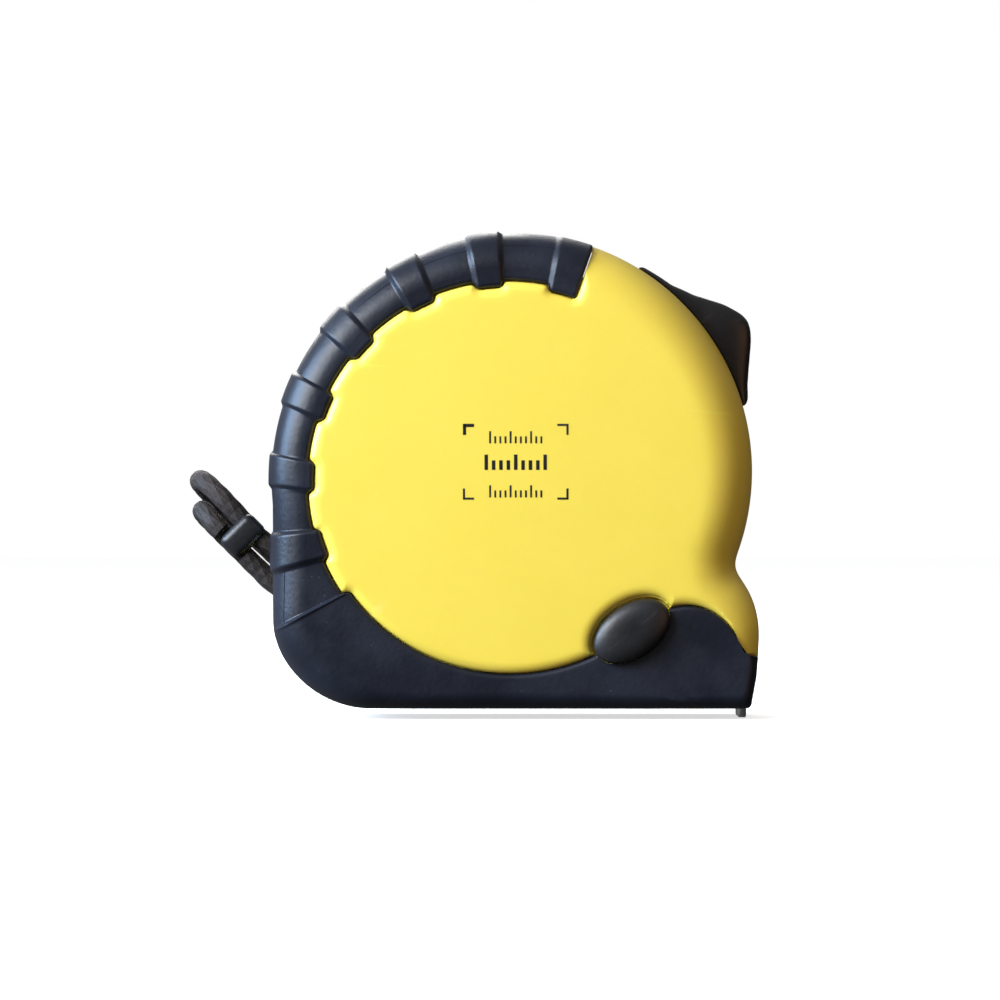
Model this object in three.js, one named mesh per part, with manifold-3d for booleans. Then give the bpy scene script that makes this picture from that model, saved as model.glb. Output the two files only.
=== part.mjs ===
// A pocket tape measure: a rubber-gripped case with a thumb lock, a side brake button, a belt clip
// and a wrist cord.
// Millimetres. X runs towards the mouth, Y towards the belt clip, Z up from the flat base.
import * as THREE from 'three';
import { mergeVertices } from 'three/addons/utils/BufferGeometryUtils.js';
import Module from 'manifold-3d';

const wasm = await Module();
wasm.setup();

// ---------------------------------------------------------------------------------------------
// Driving dimensions
// ---------------------------------------------------------------------------------------------
const bladeWidth = 19;
const bladeThickness = 0.35;
const bladeRise = 2;
const caseRadius = 37.5;
const rimWall = 6.2;
const faceWall = 2.1;
const gripWall = 2.3;
const floorWall = 1.6;
const fit = 0.3;

// Clearances of the moving pieces
const bladeSideGap = 0.5;
const reelSideGap = 2.2;
const reelRimGap = 2.8;
const armGap = 0.4;

// Case, worked out from the blade and the rim
const flangeThickness = 1;
const flangeInner = bladeWidth / 2 + bladeSideGap;
const flangeOuter = flangeInner + flangeThickness;
const cavityHalf = flangeOuter + reelSideGap;
const coreHalf = cavityHalf + faceWall;
const gripFaceRise = 2.1;
const plateauRise = 2.7;
const gripHalf = coreHalf + gripFaceRise;
const caseHalf = coreHalf + plateauRise;
const partingY = 1.5;
const caseCentre = { x: 0, z: caseRadius - 0.3 };
const cavityRadius = caseRadius - rimWall;
const flangeRadius = cavityRadius - reelRimGap;
const edgeBevel = 0.8;
const gripBevel = 0.6;

// Grip: a circle a little lower than the case, with rib blocks, a boot and a nose
const gripCircle = { x: caseCentre.x + 0.5, z: caseCentre.z - 1.2, r: caseRadius + 1.1 };
const plateauCircle = { x: caseCentre.x - 0.6, z: caseCentre.z - 0.9, r: caseRadius - 6.7 };
const bandCircle = { x: caseCentre.x - 0.9, z: caseCentre.z - 1.6, r: caseRadius - 6.15 };
const ribMiddles = [75, 97.6, 118.9, 140.9, 161.3, 181.6, 200.8];
const ribHalfAngle = 4.9;
const ribRise = 0.5;
const notchDepth = 1;
const ribSlope = 0.8;
const gripEndAngle = ribMiddles[0] - ribHalfAngle;
const bootAngle = 215.6;
const bandEndAngle = 209;
const bootSideX = -caseRadius - 0.4;
const bootTop = 14;
const bootToe = 14.6;
const heelReach = 8.3;

// Nose and mouth
const noseReach = caseRadius + 1;
const noseFootX = caseRadius - 0.3;
const noseTop = 14.6;
const noseBelly = 11.5;
const tipHeight = 8.3;
const notchAngle = -23.5;
const archRadius = 8.4;
const archCentre = { x: noseReach - 11.5, z: 7.8 };
const floorTop = gripWall + floorWall;
const passageHeight = 4.7;
const passageHalf = bladeWidth / 2 + 0.8;
const mouthHalf = bladeWidth / 2 + 1.5;
const mouthFloorEnd = caseRadius - 4.3;
const wearPlateThickness = 0.3;
const wearPlateStart = 14;
const bladeBottom = floorTop + wearPlateThickness + 2 * fit;
const tongueStart = -3.4;

// End hook
const hookPlay = 0.9;
const hookThickness = 0.9;
const lipThickness = 1.2;
const lipHalfWidth = 8.5;
const lipDrop = 1.6;
const hookTongueHalf = 4.6;
const hookTongueLength = 9;
const bumperThickness = 0.7;
const bumperHalf = 7;
const lipInnerX = mouthFloorEnd + fit + bumperThickness + fit + hookPlay;
const tongueEnd = lipInnerX - hookPlay - fit;
const rivetRadius = 0.85;
const rivetSpacing = 4.8;
const rivetHeadHeight = 0.5;
const rivetX = tongueEnd - 4.6;
const lipOuterX = lipInnerX + lipThickness;

// Reel and springs
const postRadius = 3.6;
const reelBore = 4.6;
const drumRadius = 20;
const drumWall = 1.7;
const coilInner = drumRadius + 1.2;
const coilOuter = flangeRadius - 2.2;
const coilTurns = 5;
const springInner = reelBore + 0.6;
const springTurns = 7;
const washerThickness = 0.5;
const washerRadius = 7.5;

// Thumb lock, turning about the reel axis
const lockTravel = 10;
const lockHalfWidth = 6.5;
const lockStart = 16;
const lockEnd = 58.6;
const stemFrom = 28;
const stemTo = 38;
const stemHalf = 2.6;
const armThickness = 1.7;
const armOuter = cavityRadius - armGap;
const armInner = armOuter - armThickness;
const armHalf = 4;
const armEndAngle = -53;
const padFrom = -53;
const padTo = -47;
const padReach = caseCentre.z - bladeBottom - bladeThickness + 3;
const slotMargin = 1.5;
const detentFrom = -18;
const detentTo = 22;

// Side brake button
const buttonCentre = { x: archCentre.x - 8.6, z: archCentre.z + 4.4 };
const buttonLong = 6.6;
const buttonShort = 4.15;
const buttonTilt = 34;
const buttonTravel = 1.6;
const buttonStand = 1.8;
const buttonStemLong = 4.2;
const buttonStemShort = 2.2;
const shoeGap = 1.9;
const shoeThickness = 1.5;
const shoeHalfLength = 3.6;
const buttonStemEnd = -bladeWidth / 2 - shoeGap - shoeThickness - fit;

// Screws, pin, clip
const screwRadius = 1;
const screwHeadRadius = 2.5;
const screwHeadHeight = 1.6;
const clipScrewRadius = 1.05;
const clipHeadRadius = 2.8;
const clipHeadHeight = 1.5;
const clipThickness = 1.2;
const clipHalfWidth = 7;
const clipGap = 4.9;
const clipTop = caseCentre.z + 22.8;
const clipLegEnd = caseCentre.z - 9.7;
const clipBottom = caseCentre.z - 26.2;

// Wrist cord
const cordRadius = 1.6;
const pinRadius = 1.1;
const pinHalfLength = 8.5;
const pinCentre = { x: bootSideX + 2.6, z: 21.5 };
const pocketHalf = 6.5;
const pocketBottom = pinCentre.z - 5.5;
const pocketTop = pinCentre.z + 5.5;
const pocketDepthX = pinCentre.x + pinRadius + fit + 2 * cordRadius + fit;
const keeperCentre = { x: bootSideX - 5.1, z: 27 };
const keeperLength = 4.6;
const keeperWidth = 6.8;
const keeperDepth = 5;

// ---------------------------------------------------------------------------------------------
// Solids: outlines are lists of [x, z] points, and solids are cut and joined as manifolds
// ---------------------------------------------------------------------------------------------
const radians = THREE.MathUtils.degToRad;

/** The point at an angle on a circle. */
function onCircle(centre, radius, angle) {
  return [centre.x + radius * Math.cos(radians(angle)), centre.z + radius * Math.sin(radians(angle))];
}

/** Points along an arc, about `step` degrees apart. */
function arc(centre, radius, from, to, step = 6) {
  const count = Math.max(2, Math.round(Math.abs(to - from) / step));
  const spacing = (to - from) / count;
  return Array.from({ length: count + 1 }, (_, i) => onCircle(centre, radius, from + spacing * i));
}

/** Distance from the case centre to a circle along a ray at the angle. */
function reach(circle, angle) {
  const u = [Math.cos(radians(angle)), Math.sin(radians(angle))];
  const d = [circle.x - caseCentre.x, circle.z - caseCentre.z];
  const along = d[0] * u[0] + d[1] * u[1];
  const across = d[0] * d[0] + d[1] * d[1] - along * along;
  return along + Math.sqrt(circle.r * circle.r - across);
}

/** The outline moved outwards by a distance; its points run counter-clockwise. */
function grow(outline, distance) {
  return outline.map((point, i) => {
    const before = outline[(i + outline.length - 1) % outline.length];
    const after = outline[(i + 1) % outline.length];
    const a = new THREE.Vector2(point[1] - before[1], before[0] - point[0]).normalize();
    const b = new THREE.Vector2(after[1] - point[1], point[0] - after[0]).normalize();
    const scale = distance / Math.max(0.5, 1 + a.dot(b));
    return [point[0] + (a.x + b.x) * scale, point[1] + (a.y + b.y) * scale];
  });
}

/** The outline of a strip of even thickness along a line of points. */
function ribbon(points, thickness) {
  const sides = [1, -1].map((side) => points.map((point, i) => {
    const before = points[Math.max(0, i - 1)];
    const after = points[Math.min(points.length - 1, i + 1)];
    const n = new THREE.Vector2(before[1] - after[1], after[0] - before[0]).normalize();
    return [point[0] + (n.x * side * thickness) / 2, point[1] + (n.y * side * thickness) / 2];
  }));
  return [...sides[0], ...sides[1].reverse()];
}

/** Points on an Archimedean spiral. */
function spiral(centre, from, to, turns, pointsPerTurn) {
  const count = Math.round(turns * pointsPerTurn);
  return Array.from({ length: count + 1 }, (_, i) =>
    onCircle(centre, from + ((to - from) * i) / count, (360 * turns * i) / count));
}

/** A closed geometry as a manifold solid, its faces turned outwards. */
function toSolid(geometry) {
  const bare = geometry.clone();
  bare.deleteAttribute('normal');
  bare.deleteAttribute('uv');
  const merged = mergeVertices(bare, 1e-4);
  const vertices = merged.attributes.position;
  const triangles = [];
  const corner = [new THREE.Vector3(), new THREE.Vector3(), new THREE.Vector3()];
  let volume = 0;
  for (let i = 0; i < merged.index.count; i += 3) {
    const [a, b, c] = [0, 1, 2].map((k) => merged.index.getX(i + k));
    if (a !== b && b !== c && c !== a) {
      triangles.push([a, b, c]);
      [a, b, c].forEach((v, k) => corner[k].fromBufferAttribute(vertices, v));
      volume += corner[0].dot(corner[1].cross(corner[2]));
    }
  }
  const turned = volume < 0 ? triangles.map(([a, b, c]) => [a, c, b]) : triangles;
  return new wasm.Manifold(new wasm.Mesh({
    numProp: 3,
    vertProperties: new Float32Array(vertices.array),
    triVerts: new Uint32Array(turned.flat()),
  }));
}

/** A manifold solid as a geometry. */
function toGeometry(solid) {
  const mesh = solid.getMesh();
  const geometry = new THREE.BufferGeometry();
  geometry.setAttribute('position', new THREE.BufferAttribute(mesh.vertProperties.slice(), 3));
  geometry.setIndex(new THREE.BufferAttribute(mesh.triVerts.slice(), 1));
  return geometry;
}

/** A side-view outline given thickness along Y, with bevelled rims if asked. */
function plate(outline, yMin, yMax, bevel = 0) {
  const shape = new THREE.Shape(outline.map(([x, z]) => new THREE.Vector2(x, z)));
  const geometry = new THREE.ExtrudeGeometry(shape, {
    depth: yMax - yMin - 2 * bevel,
    bevelEnabled: bevel > 0,
    bevelThickness: bevel,
    bevelSize: bevel,
    bevelOffset: -bevel,
    bevelSegments: 2,
  });
  geometry.rotateX(Math.PI / 2);
  geometry.translate(0, yMax - bevel, 0);
  return toSolid(geometry);
}

/** An end-view outline of [y, z] points, given length along X. */
function strip(outline, xMin, xMax) {
  const shape = new THREE.Shape(outline.map(([y, z]) => new THREE.Vector2(y, z)));
  const geometry = new THREE.ExtrudeGeometry(shape, { depth: xMax - xMin, bevelEnabled: false });
  const axes = [new THREE.Vector3(0, 1, 0), new THREE.Vector3(0, 0, 1), new THREE.Vector3(1, 0, 0)];
  geometry.applyMatrix4(new THREE.Matrix4().makeBasis(...axes));
  geometry.translate(xMin, 0, 0);
  return toSolid(geometry);
}

/** A box between two values on each axis. */
function block(xMin, xMax, yMin, yMax, zMin, zMax) {
  const geometry = new THREE.BoxGeometry(xMax - xMin, yMax - yMin, zMax - zMin);
  geometry.translate((xMin + xMax) / 2, (yMin + yMax) / 2, (zMin + zMax) / 2);
  return toSolid(geometry);
}

/** A cylinder along Y. */
function rod(centre, radius, yMin, yMax, sides = 20) {
  const geometry = new THREE.CylinderGeometry(radius, radius, yMax - yMin, sides);
  geometry.translate(centre.x, (yMin + yMax) / 2, centre.z);
  return toSolid(geometry);
}

/** A solid turned about an axis along Y, from a closed profile of [radius, y] points. */
function turned(centre, profile, sides = 48) {
  const points = [...profile, profile[0]].map(([r, y]) => new THREE.Vector2(r, y));
  const geometry = new THREE.LatheGeometry(points, sides);
  geometry.translate(centre.x, 0, centre.z);
  return toSolid(geometry);
}

/** A sector of a ring about the case centre, thick along Y. */
function sector(inner, outer, from, to, yMin, yMax) {
  const outline = [...arc(caseCentre, outer, from, to, 5), ...arc(caseCentre, inner, to, from, 5)];
  return plate(outline, yMin, yMax);
}

/** The button's oval, tilted with the nose. */
function oval(long, short) {
  const tilt = radians(buttonTilt);
  return Array.from({ length: 28 }, (_, i) => {
    const t = (i / 28) * 2 * Math.PI;
    const [a, b] = [long * Math.cos(t), short * Math.sin(t)];
    return [
      buttonCentre.x + a * Math.cos(tilt) - b * Math.sin(tilt),
      buttonCentre.z + a * Math.sin(tilt) + b * Math.cos(tilt),
    ];
  });
}

// ---------------------------------------------------------------------------------------------
// Outlines of the case
// ---------------------------------------------------------------------------------------------

/** Distance from the case centre to the grip's band: its circle, then the boot's upright side. */
function bandReach(angle) {
  const side = angle > 180 ? bootSideX / Math.cos(radians(angle)) : 0;
  return Math.max(reach(gripCircle, angle), side);
}

/** Points round the ribs, counter-clockwise, with each rib raised or sunk by `rise`. */
function ribbed(base, rise) {
  const points = [];
  ribMiddles.forEach((middle, k) => {
    const next = ribMiddles[k + 1] ?? 2 * bandEndAngle - middle;
    const steps = [
      [-ribHalfAngle, 0],
      [-ribHalfAngle + ribSlope, rise],
      [0, rise],
      [ribHalfAngle - ribSlope, rise],
      [ribHalfAngle, 0],
      [(next - middle) / 2, 0],
    ];
    steps.forEach(([angle, extra]) => {
      points.push(onCircle(caseCentre, base(middle + angle) + extra, middle + angle));
    });
  });
  return points;
}

/** The rounded heel of the boot, from the upright side to the flat base. */
function heel() {
  const toeX = -caseRadius + bootToe;
  const curve = new THREE.CubicBezierCurve(
    new THREE.Vector2(bootSideX, bootTop),
    new THREE.Vector2(bootSideX, bootTop / 2),
    new THREE.Vector2(toeX - heelReach, 0.2),
    new THREE.Vector2(toeX, 0),
  );
  return curve.getPoints(8).map((p) => [p.x, p.y]);
}

/** The front edge of the nose, from the base to the height where it meets the rim. */
function noseEdge() {
  return [
    [noseFootX - 1.4, 0],
    [noseFootX, 0.5],
    [noseReach - 0.5, 5],
    [noseReach, noseBelly],
    [noseReach, noseTop],
  ];
}

function gripOutline() {
  const end = onCircle(caseCentre, reach(gripCircle, gripEndAngle), gripEndAngle);
  return [
    ...noseEdge().slice(0, 3),
    [noseReach - 0.1, tipHeight + 0.7],
    [caseRadius - 7.5, noseTop + 5],
    [9, caseCentre.z + 13],
    [end[0] + 0.6, end[1] - 2],
    ...ribbed(bandReach, ribRise),
    ...heel(),
  ];
}

function yellowOutline() {
  const end = onCircle(caseCentre, caseRadius, gripEndAngle);
  const inner = (angle) => reach(plateauCircle, angle);
  const lowAngle = 308;
  const low = arc(caseCentre, 1, bootAngle + 2, lowAngle, 6).map(([x, z]) => {
    const angle = THREE.MathUtils.radToDeg(Math.atan2(z - caseCentre.z, x - caseCentre.x));
    return onCircle(caseCentre, inner(angle), angle);
  });
  return [
    [noseReach - 0.2, tipHeight],
    ...noseEdge().slice(3),
    [noseReach - 1.9, noseTop + 4],
    ...arc(caseCentre, caseRadius, notchAngle, gripEndAngle, 5).slice(0, -1),
    end,
    ...ribbed((angle) => reach(bandCircle, angle), -notchDepth),
    ...low,
    ...arc(archCentre, archRadius, 145, 6, 12),
  ];
}

/** The lower part of the hard core: boot, floor and nose. */
function lowerOutline() {
  return [
    [noseFootX, 0],
    [noseReach, noseBelly],
    [noseReach, noseTop],
    onCircle(caseCentre, caseRadius, notchAngle),
    [0, caseCentre.z],
    [bootSideX, pocketTop + 2],
    ...heel(),
  ];
}

/** The hard core under the grip, grown by `extra` all round. */
function coreSolid(extra) {
  const half = coreHalf + extra;
  const grown = extra - gripWall;
  const boss = block(
    bootSideX + 0.9 - extra, pinCentre.x + 4, -pinHalfLength - 1.5 - extra, pinHalfLength + 1.5 + extra,
    pinCentre.z - 3.5 - extra, pinCentre.z + 3.5 + extra,
  );
  return rod(gripCircle, gripCircle.r + grown, -half, half, 72)
    .add(rod(caseCentre, caseRadius + grown, -half, half, 72))
    .add(plate(grow(lowerOutline(), grown), -half, half))
    .add(boss)
    .intersect(block(-3 * caseRadius, 3 * caseRadius, -half, half, gripWall - extra, 3 * caseRadius));
}

/** The yellow plateau, nose and rim, full thickness, grown by `extra`. */
function yellowSolid(extra) {
  const outline = extra > 0 ? grow(yellowOutline(), extra) : yellowOutline();
  return plate(outline, -caseHalf - extra, caseHalf + extra, extra > 0 ? 0 : edgeBevel);
}

// ---------------------------------------------------------------------------------------------
// Openings shared by the shells and the grips
// ---------------------------------------------------------------------------------------------

const caseScrews = [
  { x: bootSideX + 10.9, z: 8.5 },
  { x: noseReach - 7, z: noseTop + 2.4 },
  { x: 15.5, z: caseCentre.z + Math.sqrt((caseRadius - 2.5) ** 2 - 15.5 ** 2) },
];

function mouthOpening() {
  return block(mouthFloorEnd, noseReach + 2, -mouthHalf, mouthHalf, -1, floorTop + passageHeight);
}

function cordPocket() {
  return block(bootSideX - 3, pocketDepthX, -pocketHalf, pocketHalf, pocketBottom, pocketTop);
}

function buttonOpening() {
  const recess = plate(oval(buttonLong + fit, buttonShort + fit), -caseHalf - 2, -coreHalf + fit);
  const stemRoom = oval(buttonStemLong + fit, buttonStemShort + fit);
  return recess.add(plate(stemRoom, -coreHalf - 1, buttonStemEnd + buttonTravel + fit));
}

function screwOpenings() {
  const holes = caseScrews.map((centre) => {
    const shank = rod(centre, screwRadius + fit, -cavityHalf + 1.6, caseHalf + 1, 12);
    return shank.add(rod(centre, screwHeadRadius + fit + 0.1, coreHalf, caseHalf + 1, 24));
  });
  return holes.reduce((all, hole) => all.add(hole));
}

/** The room inside the case: reel cavity, blade passage, lock slot and pad room, shoe room. */
function innerRoom() {
  const topOfPassage = floorTop + passageHeight;
  const shoeInner = bladeWidth / 2 + shoeGap;
  return rod(caseCentre, cavityRadius, -cavityHalf, cavityHalf, 72)
    .add(block(-6, mouthFloorEnd + 1, -passageHalf, passageHalf, floorTop, topOfPassage))
    .add(sector(
      cavityRadius - 0.8, caseRadius + 1, stemFrom - lockTravel - slotMargin, stemTo + slotMargin,
      -stemHalf - fit, stemHalf + fit,
    ))
    .add(sector(
      cavityRadius - 0.8, padReach + fit, padFrom - lockTravel - 2.5, padTo + 2.5,
      -armHalf - 2 * fit, armHalf + 2 * fit,
    ))
    .add(block(
      buttonCentre.x - shoeHalfLength - 1, buttonCentre.x + shoeHalfLength + 1,
      -shoeInner - shoeThickness - 2 * fit, -shoeInner + buttonTravel + fit, floorTop, buttonCentre.z + 0.6,
    ));
}

// ---------------------------------------------------------------------------------------------
// The pieces
// ---------------------------------------------------------------------------------------------

const far = 3 * caseRadius;
const front = (solid) => solid.intersect(block(-far, far, -far, partingY - fit / 2, -far, far));
const rear = (solid) => solid.intersect(block(-far, far, partingY + fit / 2, far, -far, far));

function shellSolid() {
  return coreSolid(0).add(yellowSolid(0))
    .subtract(innerRoom())
    .subtract(mouthOpening())
    .subtract(cordPocket())
    .subtract(rod(pinCentre, pinRadius + fit, -pinHalfLength - fit, pinHalfLength + fit))
    .subtract(buttonOpening())
    .subtract(screwOpenings())
    .subtract(rod(caseCentre, clipScrewRadius + fit, cavityHalf - 1, caseHalf + 1, 16));
}

function gripSolid() {
  return plate(gripOutline(), -gripHalf, gripHalf, gripBevel)
    .subtract(coreSolid(fit))
    .subtract(yellowSolid(fit))
    .subtract(mouthOpening())
    .subtract(cordPocket())
    .subtract(buttonOpening())
    .subtract(screwOpenings());
}

function caseScrew(centre) {
  const headBottom = coreHalf + fit;
  return rod(centre, screwRadius, -cavityHalf + 1.6 + fit, headBottom + 0.5, 12)
    .add(rod(centre, screwHeadRadius, headBottom, headBottom + screwHeadHeight, 24));
}

function centrePost() {
  const half = cavityHalf - fit;
  return rod(caseCentre, postRadius, -half, half, 28)
    .subtract(rod(caseCentre, clipScrewRadius + fit, 4, cavityHalf, 16))
    .subtract(block(-0.5, 0.5, -8.5, 3.5, caseCentre.z - postRadius - 1, caseCentre.z + postRadius + 1));
}

function postWasher(side) {
  const inner = flangeOuter + fit;
  const [yMin, yMax] = side < 0 ? [-inner - washerThickness, -inner] : [inner, inner + washerThickness];
  const bore = postRadius + fit;
  const profile = [[bore, yMin], [washerRadius, yMin], [washerRadius, yMax], [bore, yMax]];
  return turned(caseCentre, profile, 32);
}

function reelDrum() {
  const coverGap = flangeInner - fit;
  return turned(caseCentre, [
    [reelBore, -flangeOuter],
    [flangeRadius, -flangeOuter],
    [flangeRadius, -flangeInner],
    [drumRadius, -flangeInner],
    [drumRadius, coverGap],
    [drumRadius - drumWall, coverGap],
    [drumRadius - drumWall, -flangeInner + 0.1],
    [reelBore, -flangeInner + 0.1],
  ], 56);
}

function reelCover() {
  return turned(caseCentre, [
    [reelBore, flangeInner],
    [flangeRadius, flangeInner],
    [flangeRadius, flangeOuter],
    [reelBore, flangeOuter],
  ], 56);
}

function bladeCoil() {
  const pitch = (coilOuter - coilInner) / coilTurns;
  const line = spiral(caseCentre, coilInner + pitch / 4, coilOuter - pitch / 4, coilTurns - 0.5, 32);
  return plate(ribbon(line, pitch * 0.55), -bladeWidth / 2, bladeWidth / 2);
}

function powerSpring() {
  const outer = drumRadius - drumWall - 0.7;
  const pitch = (outer - springInner) / springTurns;
  const half = flangeInner - 1.5;
  return plate(ribbon(spiral(caseCentre, springInner, outer, springTurns, 24), pitch * 0.5), -half, half);
}

function springHookPlate() {
  return sector(drumRadius + fit, coilInner - 2 * fit + 0.3, 78, 102, -6, 6);
}

/** The blade's way from the coil round the cavity's floor to the tail of the tongue. */
function bladeLead() {
  const from = 190;
  const to = 262;
  const inner = coilOuter + 0.6;
  const outer = cavityRadius - 0.6;
  const line = Array.from({ length: 17 }, (_, i) => {
    const t = i / 16;
    const eased = t * t * (3 - 2 * t);
    return onCircle(caseCentre, inner + (outer - inner) * eased, from + (to - from) * t);
  });
  return plate(ribbon(line, bladeThickness), -bladeWidth / 2, bladeWidth / 2);
}

/** The blade's cross-section, hollow upwards, as [y, z] points. */
function bladeSection() {
  const half = bladeWidth / 2;
  const radius = (half * half + bladeRise * bladeRise) / (2 * bladeRise);
  const lift = bladeBottom + bladeThickness / 2;
  return Array.from({ length: 13 }, (_, i) => {
    const y = -half + (bladeWidth * i) / 12;
    return [y, lift + radius - Math.sqrt(radius * radius - y * y)];
  });
}

const rivetCentres = [-rivetSpacing / 2, rivetSpacing / 2];
const hookTongueBottom = bladeBottom + bladeThickness + 0.75;
const hookTongueTop = hookTongueBottom + hookThickness;

/** An upright cylinder. */
function upright(x, y, radius, zMin, zMax) {
  const geometry = new THREE.CylinderGeometry(radius, radius, zMax - zMin, 16);
  geometry.rotateX(Math.PI / 2);
  geometry.translate(x, y, (zMin + zMax) / 2);
  return toSolid(geometry);
}

function bladeTongue() {
  const holes = rivetCentres.map((y) => upright(rivetX, y, rivetRadius + fit, 0, 20));
  const blade = strip(ribbon(bladeSection(), bladeThickness), tongueStart, tongueEnd);
  return holes.reduce((solid, hole) => solid.subtract(hole), blade);
}

function hookRivet(y) {
  const headBottom = hookTongueTop + fit;
  return upright(rivetX, y, rivetRadius, bladeBottom + 0.05, headBottom + 0.2)
    .add(upright(rivetX, y, rivetRadius * 1.9, headBottom, headBottom + rivetHeadHeight));
}

function endHook() {
  const lip = strip([
    [-lipHalfWidth + 2, -lipDrop],
    [lipHalfWidth - 2, -lipDrop],
    [lipHalfWidth - 0.6, -lipDrop + 0.6],
    [lipHalfWidth, -lipDrop + 2],
    [lipHalfWidth, hookTongueTop],
    [-lipHalfWidth, hookTongueTop],
    [-lipHalfWidth, -lipDrop + 2],
    [-lipHalfWidth + 0.6, -lipDrop + 0.6],
  ], lipInnerX, lipOuterX);
  const tongueFrom = lipInnerX - hookTongueLength;
  const half = hookTongueHalf;
  const tongue = block(tongueFrom, lipInnerX + 0.2, -half, half, hookTongueBottom, hookTongueTop);
  const slots = rivetCentres.map((y) => upright(rivetX, y, rivetRadius + fit, 0, 20)
    .add(upright(rivetX + hookPlay, y, rivetRadius + fit, 0, 20))
    .add(block(rivetX, rivetX + hookPlay, y - rivetRadius - fit, y + rivetRadius + fit, 0, 20)));
  return slots.reduce((solid, slot) => solid.subtract(slot), lip.add(tongue));
}

function mouthWearPlate() {
  const bottom = floorTop + fit;
  const top = bottom + wearPlateThickness;
  return block(wearPlateStart, mouthFloorEnd - fit, -bumperHalf, bumperHalf, bottom, top);
}

function mouthBumper() {
  const from = mouthFloorEnd + fit;
  return block(from, from + bumperThickness, -bumperHalf, bumperHalf, 0.6, floorTop - 0.1);
}

/** The thumb lock's hump, as heights above the rim at angles round it, and its stem. */
function thumbLock() {
  const profile = [
    [lockStart, 0.9], [20.4, 1.8], [26.3, 4.1], [29, 5.4], [32, 6.4], [34.5, 6.3],
    [38.6, 4.8], [44.5, 2.2], [49.7, 1.1], [54, 0.9], [lockEnd, 0.8],
  ];
  const curve = new THREE.SplineCurve(profile.map(([angle, height]) => new THREE.Vector2(angle, height)));
  const outer = curve.getPoints(26).map((p) => onCircle(caseCentre, caseRadius + p.y, p.x));
  const inner = arc(caseCentre, caseRadius + fit, lockEnd, lockStart, 5);
  const hump = plate([...outer, ...inner], -lockHalfWidth, lockHalfWidth, 0.2);
  return hump.add(sector(armOuter + fit, caseRadius + fit + 0.3, stemFrom, stemTo, -stemHalf, stemHalf));
}

function lockArm() {
  return sector(armInner, armOuter, armEndAngle, stemTo + 2, -armHalf, armHalf);
}

function lockBrakePad() {
  return sector(armOuter + fit, padReach, padFrom, padTo, -armHalf, armHalf);
}

function lockDetentSpring() {
  return sector(cavityRadius - 0.6, cavityRadius - fit, detentFrom, detentTo, armHalf + 0.8, armHalf + 4.4);
}

function sideButton() {
  const capBack = -coreHalf - buttonTravel;
  const cap = plate(oval(buttonLong, buttonShort), -caseHalf - buttonStand, capBack, gripBevel);
  return cap.add(plate(oval(buttonStemLong, buttonStemShort), capBack - 0.5, buttonStemEnd));
}

function sideBrakeShoe() {
  const inner = -bladeWidth / 2 - shoeGap;
  return block(
    buttonCentre.x - shoeHalfLength, buttonCentre.x + shoeHalfLength,
    inner - shoeThickness, inner, floorTop + 0.7, buttonCentre.z,
  );
}

function buttonSpring() {
  const back = -coreHalf - buttonTravel + fit;
  return plate(oval(buttonLong - 0.5, buttonShort - 0.5), back, -coreHalf)
    .subtract(plate(oval(buttonStemLong + 0.5, buttonStemShort + 0.5), back - 1, -coreHalf + 1));
}

function beltClip() {
  const innerY = caseHalf + fit + clipThickness / 2;
  const bendRadius = (clipGap + clipThickness) / 2;
  const bend = arc({ x: innerY + bendRadius, z: clipTop }, bendRadius, 180, 0, 22);
  const outerY = innerY + 2 * bendRadius;
  const line = [
    [innerY, clipLegEnd],
    ...bend,
    [outerY, clipBottom + 12],
    [outerY - 0.5, clipBottom + 9],
    [outerY - 2, clipBottom + 6],
    [outerY - 3.4, clipBottom + 3.5],
    [outerY - 3.2, clipBottom + 1.8],
    [outerY - 2, clipBottom],
  ];
  return strip(ribbon(line, clipThickness), -clipHalfWidth, clipHalfWidth)
    .subtract(rod(caseCentre, clipScrewRadius + fit, innerY - 2, innerY + 2, 16))
    .subtract(rod(caseCentre, clipHeadRadius + 1.2, outerY - 2, outerY + 2, 24));
}

function clipScrew() {
  const headBottom = caseHalf + fit + clipThickness + fit;
  return rod(caseCentre, clipScrewRadius, 5, headBottom + 0.5, 16)
    .add(rod(caseCentre, clipHeadRadius, headBottom, headBottom + clipHeadHeight, 24));
}

function strapPin() {
  return rod(pinCentre, pinRadius, -pinHalfLength, pinHalfLength);
}

/** A round cord along a smooth line of [x, y, z] points. */
function cordAlong(points, steps) {
  const path = points.map((p) => new THREE.Vector3(...p));
  const curve = new THREE.CatmullRomCurve3(path, false, 'centripetal');
  const section = new THREE.Shape(
    Array.from({ length: 8 }, (_, i) => new THREE.Vector2(
      cordRadius * Math.cos((i * Math.PI) / 4),
      cordRadius * Math.sin((i * Math.PI) / 4),
    )),
  );
  return toSolid(new THREE.ExtrudeGeometry(section, { steps, bevelEnabled: false, extrudePath: curve }));
}

/** The short loop of cord round the pin, both ends at the keeper. */
function cordAnchorLoop() {
  const turn = arc(pinCentre, pinRadius + fit + cordRadius + 0.05, -90, 90, 30);
  const points = [[-42.7, 23.9], [-40.2, 21.4], [-37.8, 19.2], ...turn, [-38, 25], [-40.1, 26.5]];
  return cordAlong(points.map(([x, z]) => [x, 0, z]), 26);
}

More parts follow.
